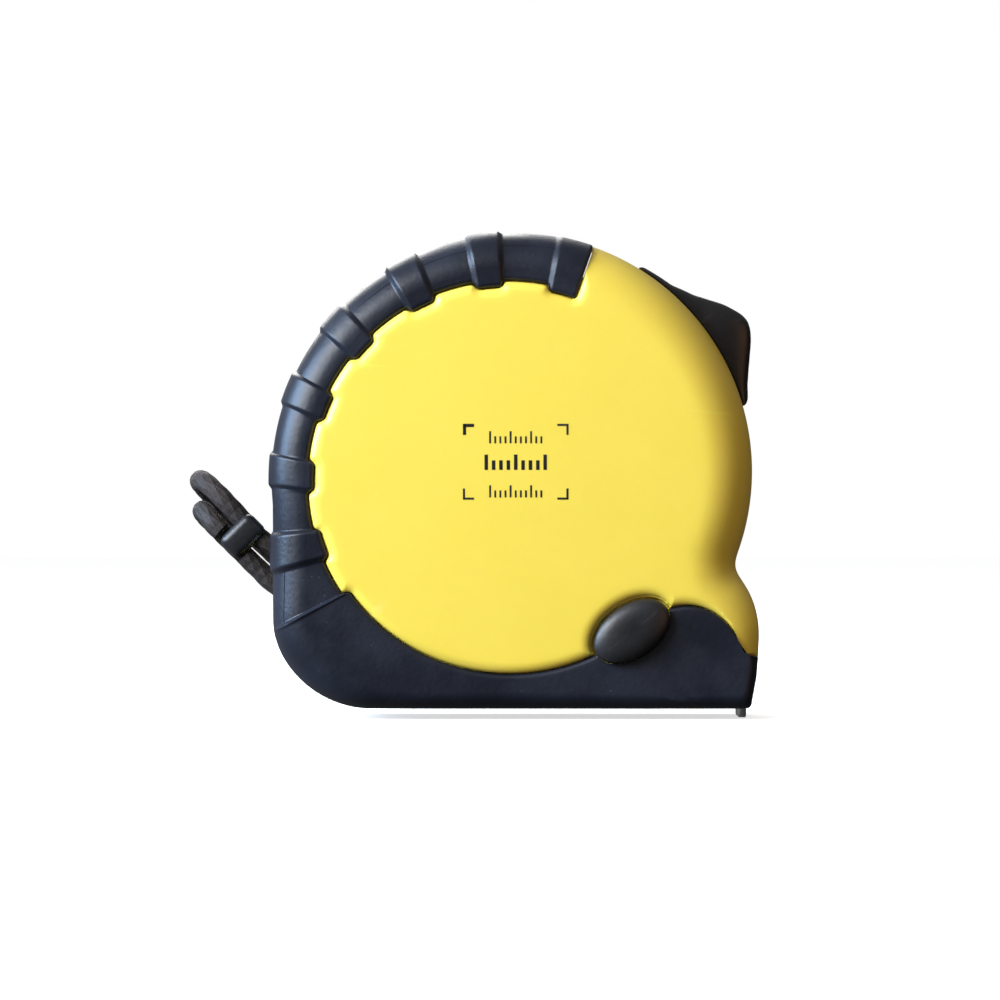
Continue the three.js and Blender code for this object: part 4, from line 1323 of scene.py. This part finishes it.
@dataclass
class ThumbLock:
    """The lock slider: a wedge on the rim with soft edges, and the stem under it."""

    form: CaseForm
    bench: Bench
    half_width: float = 6.5
    side_round: float = 1.9
    lift: float = 0.3
    heights: tuple[Point2, ...] = (
        (16.0, 0.9), (18.0, 1.4), (20.4, 1.9), (23.5, 2.95), (26.3, 4.1), (29.0, 5.35), (31.0, 6.1),
        (32.8, 6.45), (34.5, 6.25), (36.5, 5.6), (38.6, 4.85), (41.5, 3.5), (44.5, 2.3), (49.7, 1.1),
        (54.0, 0.9), (58.4, 0.7),
    )
    groove: float = 0.35

    def build(self) -> bpy.types.Object:
        """Builds the lock's outer part."""
        form = self.form
        knots = np.array(self.heights)
        angles = np.linspace(knots[0, 0], knots[-1, 0], 170)
        tall = np.interp(angles, knots[:, 0], knots[:, 1])
        kernel = np.array([1, 4, 8, 11, 12, 11, 8, 4, 1]) / 60
        tall = np.convolve(np.pad(tall, 4, mode="edge"), kernel, mode="valid")
        waves = 0.5 + 0.5 * np.cos((angles - 36.5) / 1.8 * 2 * math.pi)
        ridged = waves * smoothstep(angles, 35.6, 36.6) * (1 - smoothstep(angles, 46, 47))
        turn = np.linspace(0, math.pi / 2, 9)
        side = self.half_width - self.side_round * (1 - np.sin(turn))
        level = np.cos(turn)
        flat = np.array([-4.1, -3.8, -3.6, -2, 0, 2, 3.6, 3.8, 4.1])
        across = np.concatenate([-side[::-1], flat, side])
        share = np.concatenate([level[::-1], np.ones(9), level])
        middle = np.where(np.abs(across) < 3.7, 1.0, 0.0)
        share[0] = share[-1] = 0.0
        points = []
        for angle, height, dip in zip(angles, tall, ridged):
            edge = min(1.0, (angle - angles[0]) / 1.4, (angles[-1] - angle) / 1.4)
            soft = math.sqrt(max(0.0, 1 - (1 - max(0.0, edge)) ** 2))
            for y, part, grooved in zip(across, share, middle):
                reach = form.radius + self.lift + (height - self.lift) * part * (0.15 + 0.85 * soft)
                reach -= self.groove * dip * grooved
                x, z = form.ray(np.array([angle]), np.array([reach]))[0]
                points.append((x, y, z))
        width = len(across)
        for angle in angles:
            for y in (-self.half_width, self.half_width):
                x, z = form.ray(np.array([angle]), np.array([form.radius + self.lift - 0.02]))[0]
                points.append((x, y, z))
        rows = len(angles)
        faces = []
        for i in range(rows - 1):
            for k in range(width - 1):
                a = i * width + k
                faces.append((a, a + 1, a + width + 1, a + width))
            low = rows * width + 2 * i
            faces.append((low, low + 2, low + 3, low + 1))
            faces.append((i * width, (i + 1) * width, low + 2, low))
            faces.append((i * width + width - 1, low + 1, low + 3, (i + 1) * width + width - 1))
        first, last = rows * width, rows * width + 2 * (rows - 1)
        faces.append((*range(width), first + 1, first))
        faces.append((*range((rows - 1) * width, rows * width), last + 1, last))
        lock = self.bench.from_mesh("thumb_lock_cap", np.array(points), faces)
        outward(lock)
        stem_turn = np.radians(np.linspace(28, 38, 8))
        rays = np.stack([np.cos(stem_turn), np.sin(stem_turn)], -1)
        ring = np.vstack([rays * (form.radius + 0.8), rays[::-1] * (form.cavity_radius - 0.1)]) + form.centre
        stem = Prism(ring, -2.6, 2.6, Side.REAR).make(self.bench, "stem")
        self.bench.combine(lock, stem, "UNION")
        return self.bench.finish(lock, "black_moulding", Slot.BLACK, Body.LOCK, "thumb_lock")


@dataclass
class SideButton:
    """The oval brake button: a crowned cap with a soft edge, and its stem."""

    form: CaseForm
    bench: Bench
    rings: int = 22

    def build(self) -> bpy.types.Object:
        """Builds the button."""
        low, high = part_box("side_button")
        top, back = -low.y / MM, self.form.core_half + 1.6
        oval = Oval(node_centre("side_button"))
        count = 128
        turn = np.linspace(0, 2 * math.pi, count, endpoint=False)
        points: list[tuple[float, float, float]] = []
        shares = np.sin(np.linspace(0, math.pi / 2, self.rings))[1:]
        for share in shares:
            crown = math.sqrt(max(0.0, 1 - share**3.2))
            level = top - 1.7 * (1 - crown)
            ring = oval.at(oval.long * share * np.cos(turn), oval.short * share * np.sin(turn))
            points += [(x, -level, z) for x, z in ring]
        for level, shrink in ((top - 2.1, 0.0), (back + 0.25, 0.0), (back, 0.25), (back, oval.short - 2.2)):
            ring = oval.at((oval.long - shrink) * np.cos(turn), (oval.short - shrink) * np.sin(turn))
            points += [(x, -level, z) for x, z in ring]
        end = -high.y / MM
        ring = oval.at((oval.long - 1.8) * np.cos(turn), (oval.short - 1.8) * np.sin(turn))
        points += [(x, -end, z) for x, z in ring]
        rows = len(points) // count
        faces = [tuple(range(count)), tuple(range((rows - 1) * count, rows * count)), *quads(rows, count)]
        button = self.bench.from_mesh("side_button_cap", np.array(points), faces)
        outward(button)
        return self.bench.finish(button, "black_moulding", Slot.BLACK, Body.BUTTON, "side_button")


# ---------------------------------------------------------------------------------------------
# Blade, hook and rivets
# ---------------------------------------------------------------------------------------------


@dataclass
class BladeEnd:
    """The straight end of the blade, with its hook and rivets."""

    bench: Bench
    thickness: float = 0.16
    rise: float = 2.0

    def _lift(self, y: np.ndarray, half: float) -> np.ndarray:
        """Height of the hollow blade at a distance from its middle."""
        radius = (half**2 + self.rise**2) / (2 * self.rise)
        return radius - np.sqrt(radius**2 - y**2)

    def tongue(self) -> bpy.types.Object:
        """The blade from its tail to the hook."""
        low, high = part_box("blade_tongue")
        half = (high.y - low.y) / 2 / MM - 0.05
        blade = self.bench.start(
            "grid", "blade_end", x_subdivisions=40, y_subdivisions=36, size=1.0,
            location=((low.x + high.x) / 2, 0, 0),
        )
        blade.scale = (high.x - low.x, 2 * half * MM, 1)
        self.bench.settle(blade)
        bottom = low.z / MM
        for vertex in blade.data.vertices:
            y = vertex.co.y / MM
            vertex.co.z = (bottom + 0.3 + float(self._lift(np.array(y), half))) * MM
        self.bench.apply(blade, "SOLIDIFY", thickness=self.thickness * MM, offset=0.0)
        return self.bench.finish(blade, "scale_lacquer", Slot.BLADE, Body.BLADE, "blade_tongue")

    def hook(self) -> bpy.types.Object:
        """The hook: a lip with rounded corners and a nail slot, and the plate riveted to the blade."""
        low, high = box_mm("end_hook")
        lip_in = high.x - 1.2
        lip = self.bench.block("end_hook_plate", (lip_in, low.y, low.z), (high.x, high.y, high.z))
        self._round_corners(lip, low.z)
        plate = self.bench.block("plate", (low.x, -4.6, high.z - 0.9), (lip_in + 0.4, 4.6, high.z))
        self.bench.combine(lip, plate, "UNION")
        nail = self.bench.block("nail", (lip_in - 1, -0.7, 1.2), (high.x + 1, 0.7, 3.4))
        self.bench.cut(lip, nail)
        self.bench.bevel(lip, 0.16, 3)
        return self.bench.finish(lip, "nickel_steel", Slot.STEEL, Body.HOOK, "end_hook")

    def _round_corners(self, lip: bpy.types.Object, bottom: float) -> None:
        """Rounds the lip's two lower corners."""
        self.bench.pick(lip)
        bpy.ops.object.mode_set(mode="EDIT")
        bpy.ops.mesh.select_mode(type="EDGE")
        bpy.ops.mesh.select_all(action="DESELECT")
        mesh = bmesh.from_edit_mesh(lip.data)
        for edge in mesh.edges:
            a, b = (v.co for v in edge.verts)
            level = abs(a.z - bottom * MM) < 1e-6 and abs(b.z - bottom * MM) < 1e-6
            edge.select_set(level and abs(a.y - b.y) < 1e-7)
        bmesh.update_edit_mesh(lip.data)
        bpy.ops.mesh.bevel(offset=2.6 * MM, segments=8, affect="EDGES")
        bpy.ops.object.mode_set(mode="OBJECT")

    def rivets(self) -> None:
        """The two domed rivets."""
        for side in ("left", "right"):
            node = f"hook_rivet_{side}"
            low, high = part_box(node)
            middle = ((low.x + high.x) / 2, (low.y + high.y) / 2)
            radius = (high.x - low.x) / 2
            head = self.bench.start(
                "uv_sphere", f"{node}_head", segments=32, ring_count=16, radius=radius,
                location=(*middle, high.z - 0.0005),
            )
            head.scale.z = 0.0005 / radius
            self.bench.settle(head)
            shank = self.bench.start(
                "cylinder", "shank", vertices=32, radius=0.00085, depth=high.z - low.z - 0.0004,
                location=(*middle, (low.z + high.z) / 2 - 0.0002),
            )
            self.bench.settle(shank)
            self.bench.combine(head, shank, "UNION")
            self.bench.finish(head, "nickel_steel", Slot.STEEL, Body.BLADE, node)


# ---------------------------------------------------------------------------------------------
# Belt clip and screws
# ---------------------------------------------------------------------------------------------


@dataclass
class BeltClip:
    """The folded spring-steel clip on the rear, and the screws of the rear face."""

    form: CaseForm
    bench: Bench
    thickness: float = 1.2

    def clip(self) -> bpy.types.Object:
        """The clip: a strip along its folded path, with a rounded tongue end and two holes."""
        low, high = box_mm("belt_clip")
        t = self.thickness
        inner = low.y + t / 2
        outer = high.y - t / 2
        bend = (outer - inner) / 2
        top = high.z - t / 2 - bend
        leg_end = self.form.centre[1] - 9.7
        turn = np.linspace(math.pi, 0, 33)
        arc = np.stack([inner + bend + bend * np.cos(turn), top + bend * np.sin(turn)], -1)
        bottom = low.z + 0.6
        tail = np.array([
            [outer, bottom + 12.4], [outer - 0.06, bottom + 11], [outer - 0.45, bottom + 9.2],
            [outer - 1.2, bottom + 7.4], [outer - 2.2, bottom + 5.6], [outer - 3.1, bottom + 3.9],
            [outer - 3.38, bottom + 2.9], [outer - 3.25, bottom + 2.0], [outer - 2.75, bottom + 1.2],
            [outer - 2.1, bottom + 0.4],
        ])
        line = respace(np.vstack([[[inner, leg_end]], arc, tail]), 0.45)
        normal, along = normals(line), travelled(line)
        half = high.x - 0.02
        corner = 5.0
        left = along[-1] - along
        rounded = corner - np.sqrt(np.clip(corner**2 - (corner - left) ** 2, 0, None))
        shrink = np.where(left < corner, rounded, 0)
        ends = np.where(along < 2, 2 - np.sqrt(np.clip(4 - (2 - along) ** 2, 0, None)), 0)
        wide = half - np.maximum(shrink, ends)
        across = np.linspace(-1, 1, 15)
        points = []
        for face in (-0.5, 0.5):
            sheet = line + normal * t * face
            points += [(wide[i] * u, sheet[i, 0], sheet[i, 1]) for i in range(len(line)) for u in across]
        clip = self.bench.from_mesh("belt_clip_strip", np.array(points), slab(len(line), len(across)))
        outward(clip)
        centre = tuple(self.form.centre)
        self.bench.cut(
            clip, self.bench.rod("inner_hole", centre, 1.5, inner - 2, inner + 2, 32),
            self.bench.rod("driver_hole", centre, 4.0, outer - 2, outer + 2, 64),
        )
        self.bench.bevel(clip, 0.22, 3, 50)
        return self.bench.finish(clip, "nickel_steel", Slot.STEEL, Body.CASE, "belt_clip")

    def screw(self, node: str, head_height: float) -> bpy.types.Object:
        """A pan-head screw with a cross recess.

        Args:
            node: the CAD screw.
            head_height: the height of its head.

        Returns:
            The finished piece.
        """
        low, high = box_mm(node)
        centre = node_centre(node)
        radius = (high.x - low.x) / 2
        head = self.bench.rod(f"{node}_pan", centre, radius, high.y - head_height, high.y, 48)
        self.bench.bevel(head, head_height * 0.42, 4)
        shank = self.bench.rod("shank", centre, 1.0, low.y, high.y - head_height + 0.2, 24)
        self.bench.combine(head, shank, "UNION")
        arm, half = radius * 0.62, radius * 0.15
        x, z = centre
        cross = self.bench.block("cross", (x - arm, high.y - 0.8, z - half), (x + arm, high.y + 1, z + half))
        other = self.bench.block("other", (x - half, high.y - 0.8, z - arm), (x + half, high.y + 1, z + arm))
        self.bench.cut(head, cross, other)
        self.bench.bevel(head, 0.06, 2, 50)
        return self.bench.finish(head, "nickel_steel", Slot.STEEL, Body.CASE, node)

    def build(self) -> None:
        """Builds the clip and every screw."""
        self.clip()
        self.screw("clip_screw", 1.5)
        for k in (1, 2, 3):
            self.screw(f"case_screw_{k}", 1.6)


# ---------------------------------------------------------------------------------------------
# Wrist cord
# ---------------------------------------------------------------------------------------------


@dataclass
class WristCord:
    """The braided cord: round the pin, through the keeper, and a hand loop behind the case."""

    bench: Bench
    radius: float = 1.6
    sides: int = 20
    strands: int = 8
    braid_depth: float = 0.1
    spacing: float = 0.4
    strand_lay: float = 3.2
    anchor_start: tuple = ((-42.7, 0, 23.9), (-40.2, 0, 21.4), (-37.8, 0, 19.2))
    anchor_end: tuple = ((-38, 0, 25), (-40.1, 0, 26.5), (-41.9, 0, 28.3))
    loop: tuple = (
        (-43.6, 0, 30.1), (-46.5, 0.3, 33.2), (-49.2, 3, 35.6), (-50.2, 8.5, 35.6), (-48.6, 14.5, 33.4),
        (-45.4, 20, 30), (-41.2, 25, 26), (-36.3, 29.5, 21), (-31, 34, 14), (-25.5, 38.5, 7.5),
        (-18.5, 43, 3.2), (-9, 46.5, 2.1), (2, 48, 2.1), (12, 47, 2.1), (20, 43, 2.1),
        (23.5, 37, 2.1), (20.5, 31.5, 2.1), (12.5, 29, 2.1), (2, 28.6, 2.1), (-8, 29, 2.1),
        (-17, 28.8, 2.6), (-25, 27.8, 6.5), (-32, 25.5, 12.5), (-38, 22.5, 18.5), (-43.2, 18, 23.6),
        (-47.4, 12.5, 28), (-49.6, 7, 30.6), (-49.2, 2.6, 30.9), (-47.6, 0.4, 29), (-46.1, 0, 27.6),
    )

    def route(self) -> np.ndarray:
        """The cord's middle line, finely divided, in millimetres."""
        pin_low, pin_high = box_mm("strap_pin")
        centre = ((pin_low.x + pin_high.x) / 2, (pin_low.z + pin_high.z) / 2)
        reach = (pin_high.x - pin_low.x) / 2 + 0.35 + self.radius
        turn = [math.radians(a) for a in (-90, -60, -30, 0, 30, 60, 90)]
        round_pin = [(centre[0] + reach * math.cos(a), 0, centre[1] + reach * math.sin(a)) for a in turn]
        knots = np.array([*self.anchor_start, *round_pin, *self.anchor_end, *self.loop], float)
        return self._smooth(knots, 24, self.spacing)

    @staticmethod
    def _smooth(knots: np.ndarray, per_span: int, spacing: float) -> np.ndarray:
        """A centripetal curve through the knots, its points at even spacing."""
        ends = np.vstack([2 * knots[0] - knots[1], knots, 2 * knots[-1] - knots[-2]])
        out = []
        for p0, p1, p2, p3 in zip(ends[:-3], ends[1:-2], ends[2:-1], ends[3:]):
            t0 = 0.0
            t1 = t0 + np.linalg.norm(p1 - p0) ** 0.5
            t2 = t1 + np.linalg.norm(p2 - p1) ** 0.5
            t3 = t2 + np.linalg.norm(p3 - p2) ** 0.5
            t = np.linspace(t1, t2, per_span, endpoint=False)[:, None]
            a1 = (t1 - t) / (t1 - t0) * p0 + (t - t0) / (t1 - t0) * p1
            a2 = (t2 - t) / (t2 - t1) * p1 + (t - t1) / (t2 - t1) * p2
            a3 = (t3 - t) / (t3 - t2) * p2 + (t - t2) / (t3 - t2) * p3
            b1 = (t2 - t) / (t2 - t0) * a1 + (t - t0) / (t2 - t0) * a2
            b2 = (t3 - t) / (t3 - t1) * a2 + (t - t1) / (t3 - t1) * a3
            out.append((t2 - t) / (t2 - t1) * b1 + (t - t1) / (t2 - t1) * b2)
        line = np.vstack([*out, knots[-1:]])
        step = np.linalg.norm(np.diff(line, axis=0), axis=1)
        along = np.concatenate([[0], np.cumsum(step)])
        at = np.arange(0, along[-1], spacing)
        return np.stack([np.interp(at, along, line[:, k]) for k in range(3)], -1)

    def build(self) -> bpy.types.Object:
        """Builds the cord as one braided tube, and its keeper."""
        line = self.route()
        tangent = np.gradient(line, axis=0)
        tangent /= np.linalg.norm(tangent, axis=1)[:, None]
        across = np.zeros_like(line)
        across[0] = np.cross(tangent[0], (0, 1, 0))
        for i in range(1, len(line)):
            kept = across[i - 1] - tangent[i] * (across[i - 1] @ tangent[i])
            across[i] = kept / np.linalg.norm(kept)
        other = np.cross(tangent, across)
        turn = np.linspace(0, 2 * math.pi, self.sides, endpoint=False)
        along = np.arange(len(line)) * self.spacing
        lay = along[:, None] / self.strand_lay
        crossing = np.maximum(
            np.abs(np.sin(turn[None] * self.strands / 2 + lay * math.pi)),
            np.abs(np.sin(turn[None] * self.strands / 2 - lay * math.pi)),
        )
        reach = self.radius - self.braid_depth * (1 - crossing)
        rings = line[:, None] + reach[..., None] * (
            np.cos(turn)[None, :, None] * across[:, None] + np.sin(turn)[None, :, None] * other[:, None]
        )
        points = np.vstack([rings.reshape(-1, 3), line[:1], line[-1:]])
        rows, sides = len(line), self.sides
        faces: list[tuple[int, ...]] = [*quads(rows, sides)]
        start, stop = rows * sides, rows * sides + 1
        for k in range(sides):
            faces.append((start, (k + 1) % sides, k))
            faces.append((stop, (rows - 1) * sides + k, (rows - 1) * sides + (k + 1) % sides))
        cord = self.bench.from_mesh("wrist_cord_braid", points, faces)
        outward(cord)
        self._map(cord, rows)
        self.bench.finish(
            cord, "braided_cord", Slot.CORD, Body.CASE, "wrist_cord", "cord_anchor_loop",
            angle=math.radians(80),
        )
        keeper = self._keeper()
        return cord

    def _map(self, cord: bpy.types.Object, rows: int) -> None:
        """Gives the braid a UV map: once round the cord, and along it in strand lengths."""
        layer = cord.data.uv_layers.new(name="braid")
        for polygon in cord.data.polygons:
            columns = [cord.data.loops[i].vertex_index % self.sides for i in polygon.loop_indices]
            wraps = max(columns) - min(columns) > self.sides / 2
            for i, column in zip(polygon.loop_indices, columns):
                row = min(cord.data.loops[i].vertex_index // self.sides, rows - 1)
                around = column + (self.sides if wraps and column < self.sides / 2 else 0)
                layer.data[i].uv = (around / self.sides, row * self.spacing / self.strand_lay)

    def _keeper(self) -> bpy.types.Object:
        """The moulded sleeve that pinches the strands."""
        low, high = box_mm("cord_keeper")
        middle = ((low.x + high.x) / 2 * MM, 0.0, (low.z + high.z) / 2 * MM)
        keeper = self.bench.start(
            "cube", "cord_keeper_sleeve", size=1.0, location=middle, rotation=(0, math.pi / 4, 0)
        )
        keeper.scale = (4.5 * MM, 4.9 * MM, 6.7 * MM)
        self.bench.settle(keeper)
        self.bench.bevel(keeper, 1.3, 6)
        return self.bench.finish(keeper, "black_moulding", Slot.BLACK, Body.CASE, "cord_keeper")


# ---------------------------------------------------------------------------------------------
# Print on the front face
# ---------------------------------------------------------------------------------------------


@dataclass
class FacePrint:
    """The pad print: four thin corner marks round three rows of plain ruler ticks."""

    form: CaseForm
    bench: Bench
    shells: HardShells
    ink: float = 0.02
    left: float = -8.0
    right: float = 8.5
    bottom: float = 32.75
    top: float = 44.6

    def _bar(self, low: Point2, high: Point2) -> tuple[list, list]:
        """A thin flat bar that lies on the domed face."""
        columns = max(2, int((high[0] - low[0]) / 0.5) + 1)
        rows = max(2, int((high[1] - low[1]) / 0.5) + 1)
        xs, zs = np.linspace(low[0], high[0], columns), np.linspace(low[1], high[1], rows)
        flat = np.array([(x, z) for z in zs for x in xs])
        level = self.shells.height(flat, Side.FRONT)
        points = [(x, -(v + self.ink), z) for (x, z), v in zip(flat, level)]
        points += [(x, -(v - 0.05), z) for (x, z), v in zip(flat, level)]
        return points, slab(rows, columns)

    def _bars(self) -> list[tuple[Point2, Point2]]:
        """Every bar of the print, as opposite corners."""
        arm, line = 1.75, 0.34
        bars = []
        for x, toward in ((self.left, 1), (self.right, -1)):
            for z, up in ((self.bottom, 1), (self.top, -1)):
                width = line * (1.5 if toward > 0 and up < 0 else 1.0)
                for reach_x, reach_z in ((arm, width), (width, arm)):
                    xs = sorted((x, x + toward * reach_x))
                    zs = sorted((z, z + up * reach_z))
                    bars.append(((xs[0], zs[0]), (xs[1], zs[1])))
        rows = (
            (41.55, 0.3, 11, 0.8, 1.9, 1.1),
            (37.4, 0.55, 9, 1.15, 2.4, 1.5),
            (33.1, 0.3, 11, 0.8, 1.9, 1.1),
        )
        middle = (self.left + self.right) / 2
        for low, thick, count, pitch, tall, short in rows:
            for k in range(count):
                x = middle + (k - (count - 1) / 2) * pitch
                height = tall if k % 4 == 0 else short
                bars.append(((x - thick / 2, low), (x + thick / 2, low + height)))
        return bars

    def build(self) -> bpy.types.Object:
        """Builds the whole print as one piece."""
        points, faces = [], []
        for low, high in self._bars():
            more, sides = self._bar(low, high)
            faces += [tuple(i + len(points) for i in face) for face in sides]
            points += more
        print_piece = self.bench.from_mesh("face_print", np.array(points), faces)
        outward(print_piece)
        return self.bench.finish(print_piece, "print_ink", Slot.BLACK, Body.CASE)


# ---------------------------------------------------------------------------------------------
# What the CAD already shapes
# ---------------------------------------------------------------------------------------------


@dataclass(frozen=True)
class InnerWorks:
    """The nodes inside the case that keep their CAD shape and get their finish here."""

    rack: FinishRack
    finishes: tuple[tuple[str, tuple[str, ...]], ...] = (
        ("pale_moulding", ("centre_post", "post_washer_front", "post_washer_rear")),
        ("pale_moulding", ("reel_drum", "reel_cover")),
        ("blued_steel", ("power_spring", "lock_detent_spring", "button_spring")),
        ("scale_lacquer", ("blade_coil", "blade_lead")),
        ("nickel_steel", ("spring_hook_plate", "mouth_wear_plate", "strap_pin")),
        ("black_moulding", ("lock_arm", "side_brake_shoe")),
        ("soft_rubber", ("lock_brake_pad", "mouth_bumper")),
    )

    def dress(self) -> None:
        """Gives each kept node its finish."""
        for finish, nodes in self.finishes:
            for node in nodes:
                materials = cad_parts[node].data.materials
                materials.clear()
                materials.append(self.rack.get(finish))
                log.info("%s keeps its shape, in %s", node, finish)


# ---------------------------------------------------------------------------------------------
# Studio
# ---------------------------------------------------------------------------------------------


@dataclass
class Studio:
    """Camera, lights and floor."""

    form: CaseForm
    bench: Bench
    distance: float = 1.1
    view_width: float = 0.157
    aim: tuple[float, float] = (-0.0022, 0.0327)

    def camera(self) -> None:
        """A long lens, level, square to the front face."""
        data = bpy.data.cameras.new("camera")
        data.sensor_width = 36.0
        data.lens = 36.0 * (self.distance - 0.012) / self.view_width
        data.clip_start = 0.01
        camera = bpy.data.objects.new("camera", data)
        camera.location = (self.aim[0], -self.distance, self.aim[1])
        camera.rotation_euler = (math.pi / 2, 0, 0)
        bpy.context.collection.objects.link(camera)
        bpy.context.scene.camera = camera

    def _area(self, name: str, place: Sequence[float], size: float, power: float, colour: Colour) -> None:
        """A square soft light aimed at the case."""
        data = bpy.data.lights.new(name, "AREA")
        data.shape = "SQUARE"
        data.size = size
        data.energy = power
        data.color = colour
        light = bpy.data.objects.new(name, data)
        light.location = place
        aim = Vector((0, 0, self.form.centre[1] * MM)) - Vector(place)
        light.rotation_euler = aim.to_track_quat("-Z", "Y").to_euler()
        bpy.context.collection.objects.link(light)

    def lights(self) -> None:
        """Cool window light from the upper left, a warm low fill, and a pale surround."""
        self._area("window", (-0.62, -0.5, 0.42), 0.5, 12.0, (0.93, 0.96, 1.0))
        self._area("cool_side", (-0.8, -0.12, 0.3), 0.45, 13.0, (0.45, 0.67, 1.0))
        self._area("front", (-0.3, -0.95, 0.5), 0.6, 0.6, (1.0, 0.99, 0.97))
        self._area("warm", (0.5, -0.42, 0.1), 0.4, 0.55, (1.0, 0.5, 0.2))
        self._area("rear", (-0.2, 0.9, 0.6), 0.6, 8.0, (1.0, 0.99, 0.97))
        self._surround()

    def _surround(self) -> None:
        """A white backdrop, and for the light a room that is darker towards the right."""
        world = bpy.data.worlds.new("surround")
        world.use_nodes = True
        nodes = Nodes(world.node_tree)
        split = nodes.add("SeparateXYZ", Vector=nodes.add("TexCoord").outputs["Generated"])
        left = nodes.ramp(split.outputs["X"], 0.3, -1.0, 0.04, 0.4)
        top = nodes.ramp(split.outputs["Z"], 0.0, 1.0, 0.0, 0.3)
        backdrop = nodes.add("LightPath").outputs["Is Camera Ray"]
        light = nodes.math("MAXIMUM", backdrop, nodes.math("ADD", left, top))
        background = world.node_tree.nodes["Background"]
        background.inputs["Color"].default_value = (1.0, 1.0, 1.0, 1.0)
        nodes.feed(background.inputs["Strength"], light)
        bpy.context.scene.world = world
        bpy.context.scene.view_settings.view_transform = "Standard"

    def floor(self) -> None:
        """A pale floor at the hook's tip, the lowest point of the tape."""
        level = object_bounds()[0].z - 0.00005
        floor = self.bench.start("plane", "floor", size=6.0, location=(0, 0, level))
        self.bench.settle(floor)
        material = bpy.data.materials.new("pale_floor")
        material.use_nodes = True
        nodes = Nodes(material.node_tree)
        shader = material.node_tree.nodes["Principled BSDF"]
        noise = nodes.add("TexNoise", Vector=nodes.add("TexCoord").outputs["Object"], Scale=30.0, Detail=3.0)
        tone = nodes.mix(noise.outputs["Fac"], (0.93, 0.93, 0.93, 1), (0.95, 0.95, 0.95, 1))
        nodes.feed(shader.inputs["Base Color"], tone)
        shader.inputs["Roughness"].default_value = 0.9
        shader.inputs["Specular IOR Level"].default_value = 0.1
        shader.inputs["Emission Color"].default_value = (1.0, 1.0, 1.0, 1.0)
        shader.inputs["Emission Strength"].default_value = 0.65
        floor.visible_diffuse = False
        floor.visible_glossy = False
        floor.data.materials.append(material)
        floor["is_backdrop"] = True


def main() -> None:
    """Builds every sub-assembly in order and reports it."""
    logging.basicConfig(level=logging.INFO, format="%(name)s: %(message)s")
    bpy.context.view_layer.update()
    form = CaseForm.from_frame()
    rack = FinishRack()
    bench = Bench(rack)
    studio = Studio(form, bench)
    studio.camera()
    WristCord(bench).build()
    shells = HardShells(form, bench)
    grips = RubberGrips(form, bench)
    for side in Side:
        shells.build(side)
        grips.build(side)
    FacePrint(form, bench, shells).build()
    ThumbLock(form, bench).build()
    SideButton(form, bench).build()
    blade = BladeEnd(bench)
    blade.tongue()
    blade.hook()
    blade.rivets()
    BeltClip(form, bench).build()
    InnerWorks(rack).dress()
    studio.lights()
    studio.floor()


if __name__ == "__main__":
    main()
